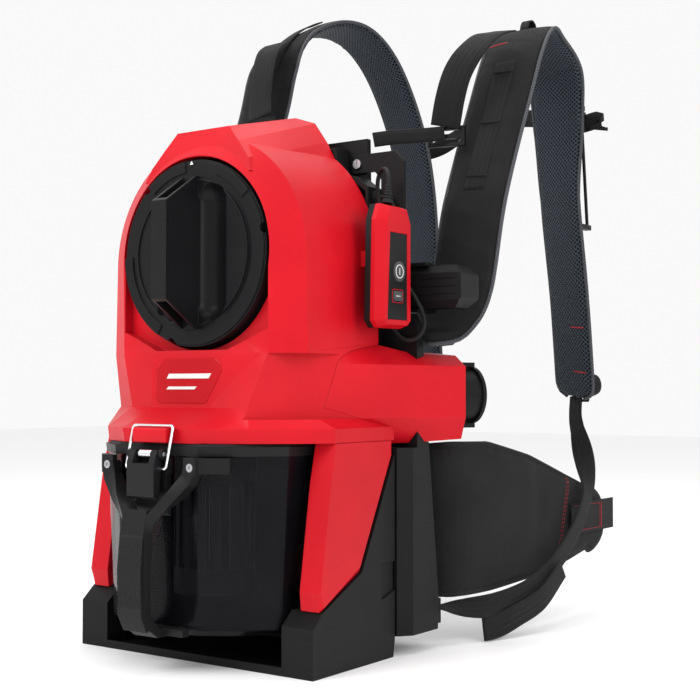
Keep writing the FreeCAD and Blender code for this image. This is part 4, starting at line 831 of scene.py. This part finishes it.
def wing(name, node, sign):
    points = [(sign * x, y, 132) for x, y in WING_PLAN]
    line = Line(points, [(0, 0, -sign)] * len(points), 7.0)
    reach = [0.0]
    for first, second in zip(WING_PLAN, WING_PLAN[1:]):
        reach.append(reach[-1] + math.dist(first, second))
    scale = reach[-1] / (line.length / MM)

    def span(i):
        here = line.reach[i] / MM * scale
        low = table_value(WING_LOW, reach, here)
        high = table_value(WING_HIGH, reach, here)
        left = reach[-1] - here
        if left < 46:
            middle = 108
            grow = math.sqrt(max(1 - ((46 - left) / 46) ** 2, 0))
            low = middle - (middle - 70) * max(grow, 0.12)
            high = middle + (table_value(WING_HIGH, reach, reach[-1] - 46) - middle) * max(grow, 0.12)
        return low, high

    def outline(i):
        low, high = span(i)
        centre = -sign * ((low + high) / 2 - 132)
        half = (high - low) / 2 - 2
        crease = 1 - 0.3 * math.exp(-((line.reach[i] / MM - 190) / 14) ** 2)
        return [(across + centre, out * crease)
                for across, out in crowned(half + 1.5, 5.4, 3.2, steps=16, power=5)]

    piece = sweep(name, line, outline, ["nylon", "mesh"])
    SOFT.append(piece)
    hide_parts(node)
    top = []
    bottom = []
    for i in range(len(line.places)):
        low, high = span(i)
        top.append(line.point(i, -sign * (high - 132 - 2.5), 0))
        bottom.append(line.point(i, -sign * (low - 132 + 2.5), 0))
    edge = top + list(reversed(bottom))
    cord_line(name + "_binding", edge, 0.0036, "binding", closed=True)
    return piece, line


wing_right, wing_right_line = wing("wing_right", "hip_wing_right", 1)
wing_left, wing_left_line = wing("wing_left", "hip_wing_left", -1)


# ---------------------------------------------------------------- back pad

BACK_SPANS = [(84, 194), (204, 310), (320, 402), (412, 490)]


def back_place(height):
    """The middle of the back pad's thickness at a height."""
    steps = [(82, 144), (213, 126.5), (320, 115), (493, 108)]
    for (low, y_low), (high, y_high) in zip(steps, steps[1:]):
        if height <= high:
            t = (height - low) / (high - low)
            return y_low + (y_high - y_low) * t
    return steps[-1][1]


def add_back_pad():
    lines = []
    cushions = []
    for number, (low, high) in enumerate(BACK_SPANS, start=1):
        points = [(0, back_place(low + (high - low) * k / 4), low + (high - low) * k / 4) for k in range(5)]
        line = Line(points, [X_SIDE] * 5, 6.0)

        def outline(i, line=line):
            half = rounded_width(line, i, 90, 14, 14)
            edge = min(line.reach[i], line.length - line.reach[i]) / MM
            thick = 3.0 + 1.9 * min(1, edge / 16) ** 0.5
            return crowned(half, thick, 2.6, steps=22, power=6)

        cushion = sweep("back_cushion_%d" % number, line, outline, ["nylon", "mesh"])
        SOFT.append(cushion)
        lines.append(line)
        cushions.append(cushion)
    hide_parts("back_pad")
    whole = [(0, back_place(z) - 2, z) for z in range(82, 494, 16)]
    line = Line(whole, [X_SIDE] * len(whole), 12.0)
    sweep("back_panel", line, lambda i: strap_section(92, 1.4), ["mesh"])
    return cushions, lines


cushions, cushion_lines = add_back_pad()

if SOFT:
    puff(SOFT)
for pad, line in [(right_pad, right_line), (left_pad, left_line), (wing_right, wing_right_line),
                  (wing_left, wing_left_line)] + list(zip(cushions, cushion_lines)):
    for old in list(pad.data.uv_layers):
        pad.data.uv_layers.remove(old)
    lay_uv(pad, line, inner_look=1)
for pad, line in ((right_pad, right_line), (left_pad, left_line)):
    crumple(pad, line, 1.3)


# ---------------------------------------------------------------- webbing

RIGHT_LIFTER = [(196, 232, 672), (188, 205, 662), (180, 184, 642), (169, 174, 618), (161, 171, 590),
                (153, 174, 560)]
RIGHT_ANCHOR = [(152, 173, 553), (137, 152, 549), (118, 126, 545), (103, 108, 541)]
LEFT_LIFTER = [(-124, 224, 706), (-116, 196, 688), (-112, 180, 656), (-109, 172, 620), (-104, 166, 600)]
LEFT_ANCHOR = [(-103, 164, 592), (-100, 144, 574), (-94, 116, 552), (-91, 108, 543)]
RIGHT_WEB = [(178, 446, 264), (179, 441, 240), (184, 436, 222), (202, 420, 180), (214, 398, 142),
             (214, 360, 100), (210, 310, 66), (204, 255, 46), (190, 200, 37), (160, 150, 38)]
RIGHT_WEB_ACROSS = [(0.875, -0.485, 0), (0.875, -0.485, 0), (0.9, -0.4, 0.1), (0.5, 0.6, 0.2),
                    (0, 0.8, -0.5), (0, 0.7, -0.7), (0, 0.5, -0.8), (0, 0.3, -0.9), (0.35, 0, -0.9),
                    (1, 0, 0)]
RIGHT_TAIL = [(219, 322, 66), (217, 275, 38), (208, 232, 24), (198, 205, 15), (191, 188, 13.5)]
RIGHT_TAIL_ACROSS = [(0, 0.35, 0.94)] * 5
LEFT_WEB = [(-70, 487, 292), (-76, 476, 250), (-84, 452, 200), (-104, 400, 130), (-126, 330, 78),
            (-148, 240, 52), (-158, 180, 40), (-160, 150, 38)]
STERNUM = [(224, 416, 588), (223, 417, 600), (203, 420, 599), (180, 429, 604), (150, 442, 614),
           (90, 463, 626), (30, 475, 628), (-10, 481, 618), (-38, 476, 604), (-60, 472, 599),
           (-76, 472, 598)]


def add_webbing():
    leaning = (1, 0.25, 0)
    lifter = strap("lifter_strap_right", RIGHT_LIFTER, [leaning] * 6, 34)
    strap("lifter_yoke_right", RIGHT_ANCHOR, [(0, 0, 1)] * 4, 16, 1.4)
    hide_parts("load_lifter_right")
    lifter = strap("lifter_strap_left", LEFT_LIFTER, [X_SIDE] * 5, 34)
    strap("lifter_yoke_left", LEFT_ANCHOR, [X_SIDE] * 4, 30, 1.4)
    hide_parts("load_lifter_left")
    lower = strap("lower_strap_right", RIGHT_WEB, RIGHT_WEB_ACROSS, 25)
    strap("lower_strap_tail", RIGHT_TAIL, RIGHT_TAIL_ACROSS, 25)
    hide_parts("lower_webbing_right")
    lower = strap("lower_strap_left", LEFT_WEB, [X_SIDE] * len(LEFT_WEB), 25)
    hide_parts("lower_webbing_left")
    up = [(0, 0, 1)] * len(STERNUM)
    across = strap("chest_strap", STERNUM, up, 22, 1.0, body="sternum")
    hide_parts("sternum_strap")


add_webbing()


def hip_strap(name, sign):
    """The hip belt's webbing on the outer end of a wing; its box of stitches is added further down."""
    points = [(sign * (x + 8.4), y - 2, 116)
              for x, y in ((191, 386), (191, 410), (192, 440), (193, 470), (193, 502))]
    line = Line(points, [(0, 0, 1)] * 5, 4.0)
    return sweep(name, line, lambda i: strap_section(19, 1.0), ["strap"]), line


belt_right, _ = hip_strap("hip_strap_right", 1)
belt_left, _ = hip_strap("hip_strap_left", -1)
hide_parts("hip_webbing")


# ---------------------------------------------------------------- stitching

for sign, panel, tag in ((1, wing_right, "right"), (-1, wing_left, "left")):
    outward = (sign, 0, 0)
    for number, shift in enumerate((0, 5)):
        y = 372 + shift
        stitches("wing_stitch_%s_%d" % (tag, number), [(sign * 198, y + 12, 172), (sign * 198, y - 20, 64)],
                 onto=panel, aim=outward)
for sign, belt, tag in ((1, belt_right, "right"), (-1, belt_left, "left")):
    outward = (sign, 0, 0)
    box = [(sign * 200, 392, 131), (sign * 200, 460, 131), (sign * 200, 460, 101), (sign * 200, 392, 101)]
    stitches("belt_stitch_" + tag, box, length=2.6, gap=1.0, onto=belt, aim=outward)
    bar = [(sign * 200, 464, 132), (sign * 200, 464, 100)]
    stitches("belt_bartack_" + tag, bar, length=1.6, gap=0.1, radius=0.9, onto=belt, aim=outward)


# ---------------------------------------------------------------- small details

def raised_plate(name, corners, thick, look, body="machine"):
    """A thin plate with a bevelled rim.  corners run round it in millimetres, seen from outside."""
    place = [Vector(corner) * MM for corner in corners]
    middle = sum(place, Vector()) / len(place)
    normal = (place[1] - place[0]).cross(place[2] - place[1]).normalized()
    inset = [corner + (middle - corner).normalized() * (thick * MM) for corner in place]
    count = len(place)
    points = [corner - normal * (0.6 * MM) for corner in place]
    points += [corner + normal * (thick * 0.5 * MM) for corner in place]
    points += [corner + normal * (thick * MM) for corner in inset]
    faces = []
    for ring in range(2):
        for k in range(count):
            after = (k + 1) % count
            faces.append((ring * count + k, ring * count + after,
                          (ring + 1) * count + after, (ring + 1) * count + k))
    faces.append(tuple(range(2 * count, 3 * count)))
    faces.append(tuple(reversed(range(count))))
    piece = mesh_piece(name, points, faces, [look], body)
    crisp(piece, 20)
    return piece


def chin_face(x, z):
    """The chin's front face between its flat edges, at a place across and a height."""
    t = (308 - z) / 54
    left, left_y = -50, -70 - 2 * t
    right, right_y = 84 - 56 * t, -66 - 6 * t
    share = (x - left) / (right - left)
    return (x, left_y + (right_y - left_y) * share, z)


def add_label():
    outline = [(-44, 262), (-38, 258), (24, 258), (42, 290), (40, 298), (33, 303), (-34, 303), (-44, 293)]
    raised_plate("label_panel", [chin_face(x, z) for x, z in outline], 0.7, "red_gloss")
    for number, (low, high, left, right) in enumerate(((283, 288, -30, 26), (272, 275, -30, 8)), start=1):
        bar = [chin_face(left, low), chin_face(right, low),
               chin_face(right + 3, high), chin_face(left + 3, high)]
        raised_plate("label_stripe_%d" % number, [(x, y - 0.7, z) for x, y, z in bar], 0.3, "white")


def ring_points(centre, radius, first_axis, second_axis, count=40):
    first = Vector(first_axis) * (radius * MM)
    second = Vector(second_axis) * (radius * MM)
    middle = Vector(centre) * MM
    return [middle + first * math.cos(2 * math.pi * k / count) + second * math.sin(2 * math.pi * k / count)
            for k in range(count)]


def add_remote_marks():
    cord_line("power_ring", ring_points((172.5, 53, 391), 6.6, (0, 1, 0), (0, 0, 1)), 0.0005, "white",
              closed=True, body="power")
    bar = [Vector((0.1726, 0.053, 0.3875)), Vector((0.1726, 0.053, 0.391)), Vector((0.1726, 0.053, 0.3945))]
    cord_line("power_bar", bar, 0.0005, "white", body="power")
    frame = [(171.4, 41.5, 359.5), (171.4, 60.5, 359.5), (171.4, 60.5, 372.5), (171.4, 41.5, 372.5)]
    corners = [Vector(corner) * MM for corner in frame]
    line = []
    for first, second in zip(corners, corners[1:] + corners[:1]):
        line.extend(first.lerp(second, t) for t in (0.04, 0.5, 0.96))
    cord_line("mode_frame", line, 0.0004, "red", closed=True)
    dash = [Vector((0.1722, 0.047, 0.366)), Vector((0.1722, 0.051, 0.366)), Vector((0.1722, 0.055, 0.366))]
    cord_line("mode_dash", dash, 0.0004, "white", body="mode")


def add_lid_marks():
    raised_plate("lid_mark", [(-2.2, -67.9, 499.5), (2.2, -67.9, 499.5), (0, -67.9, 503.2)],
                 0.4, "white", body="lid")


def pad_run(line, first, last, across, out):
    """Points in millimetres that follow a pad beside its middle, between two shares of its length."""
    count = len(line.places) - 1
    steps = range(round(first * count), round(last * count) + 1, 2)
    return [tuple(line.point(i, across, out) / MM) for i in steps], [tuple(line.side[i]) for i in steps]


def add_pad_webbing():
    for tag, line, first, last in (("left", left_line, 0.2, 0.46), ("right", right_line, 0.2, 0.38)):
        points, across = pad_run(line, first, last, 0, -6.6)
        strap("pad_webbing_" + tag, points, across, 25, 0.9)
        count = len(line.places) - 1
        for number, share in enumerate((first + 0.02, first + 0.09, first + 0.16), start=1):
            i = round(share * count)
            run = [tuple(line.point(i, side, -8.3) / MM) for side in (-12, 12)]
            stitches("pad_bar_%s_%d" % (tag, number), run, length=1.2, gap=0.1, radius=1.0, look="binding",
                     aim=tuple(-line.normal[i]), lift=0)
    points, across = pad_run(left_line, 0.60, 0.97, 0, -6.6)
    strap("pad_front_webbing_left", points, across, 25, 0.9)
    points, across = pad_run(right_line, 0.60, 0.97, 0, -6.8)
    strap("pad_front_webbing_right", points, across, 25, 0.9)
    count = len(right_line.places) - 1
    for number, (share, side) in enumerate(((0.415, -20), (0.9, 20), (0.96, 20)), start=1):
        i = round(share * count)
        on_mesh = number > 1
        out = 7.5 if on_mesh else -7.5
        run = [tuple(right_line.point(i, side + step, out) / MM) for step in (-11, 11)]
        aim = right_line.normal[i] * (1 if on_mesh else -1)
        stitches("pad_bartack_%d" % number, run, length=1.6, gap=0.05, radius=1.0, onto=right_pad,
                 aim=tuple(aim))
    loop = [(186, 296, 690), (185, 301, 699), (185, 309, 703), (185, 317, 700), (184, 322, 691)]
    strap("pad_loop_right", loop, [X_SIDE] * 5, 11, 0.9)
    stub = [(178, 334, 689), (177, 342, 695), (177, 350, 694), (178, 352, 688)]
    strap("pad_stub_right", stub, [X_SIDE] * 4, 10, 0.9)
    tab = [(196, 438, 290), (208, 432, 288), (214, 429, 279), (211, 431, 269), (198, 438, 264)]
    strap("pad_tab_right", tab, [(0.485, 0.875, 0)] * 5, 13, 1.0)


def ladder_lock(name, centre, turn, width=34, height=24, body="machine"):
    """A moulded buckle with two windows and a middle bar."""
    half_w = width / 2
    half_h = height / 2
    rails = [((-half_w + 2, -half_h + 2), (half_w - 2, -half_h + 2)),
             ((-half_w + 2, half_h - 2), (half_w - 2, half_h - 2)),
             ((-half_w + 2, 0), (half_w - 2, 0)),
             ((-half_w + 2, -half_h + 2), (-half_w + 2, half_h - 2)),
             ((half_w - 2, -half_h + 2), (half_w - 2, half_h - 2))]
    rotation = Matrix.Rotation(math.radians(turn), 3, "Z")
    middle = Vector(centre)
    for number, (first, second) in enumerate(rails, start=1):
        ends = []
        for t in (0, 0.5, 1):
            x = first[0] + (second[0] - first[0]) * t
            z = first[1] + (second[1] - first[1]) * t
            ends.append((middle + rotation @ Vector((x, 0, z))) * MM)
        cord_line("%s_%d" % (name, number), ends, 0.0019, "black", body=body)


add_label()
add_remote_marks()
add_lid_marks()
add_pad_webbing()
ladder_lock("pad_lock_right", (180, 455, 268), -29)
ladder_lock("pad_lock_left", (-69, 492, 296), -6)
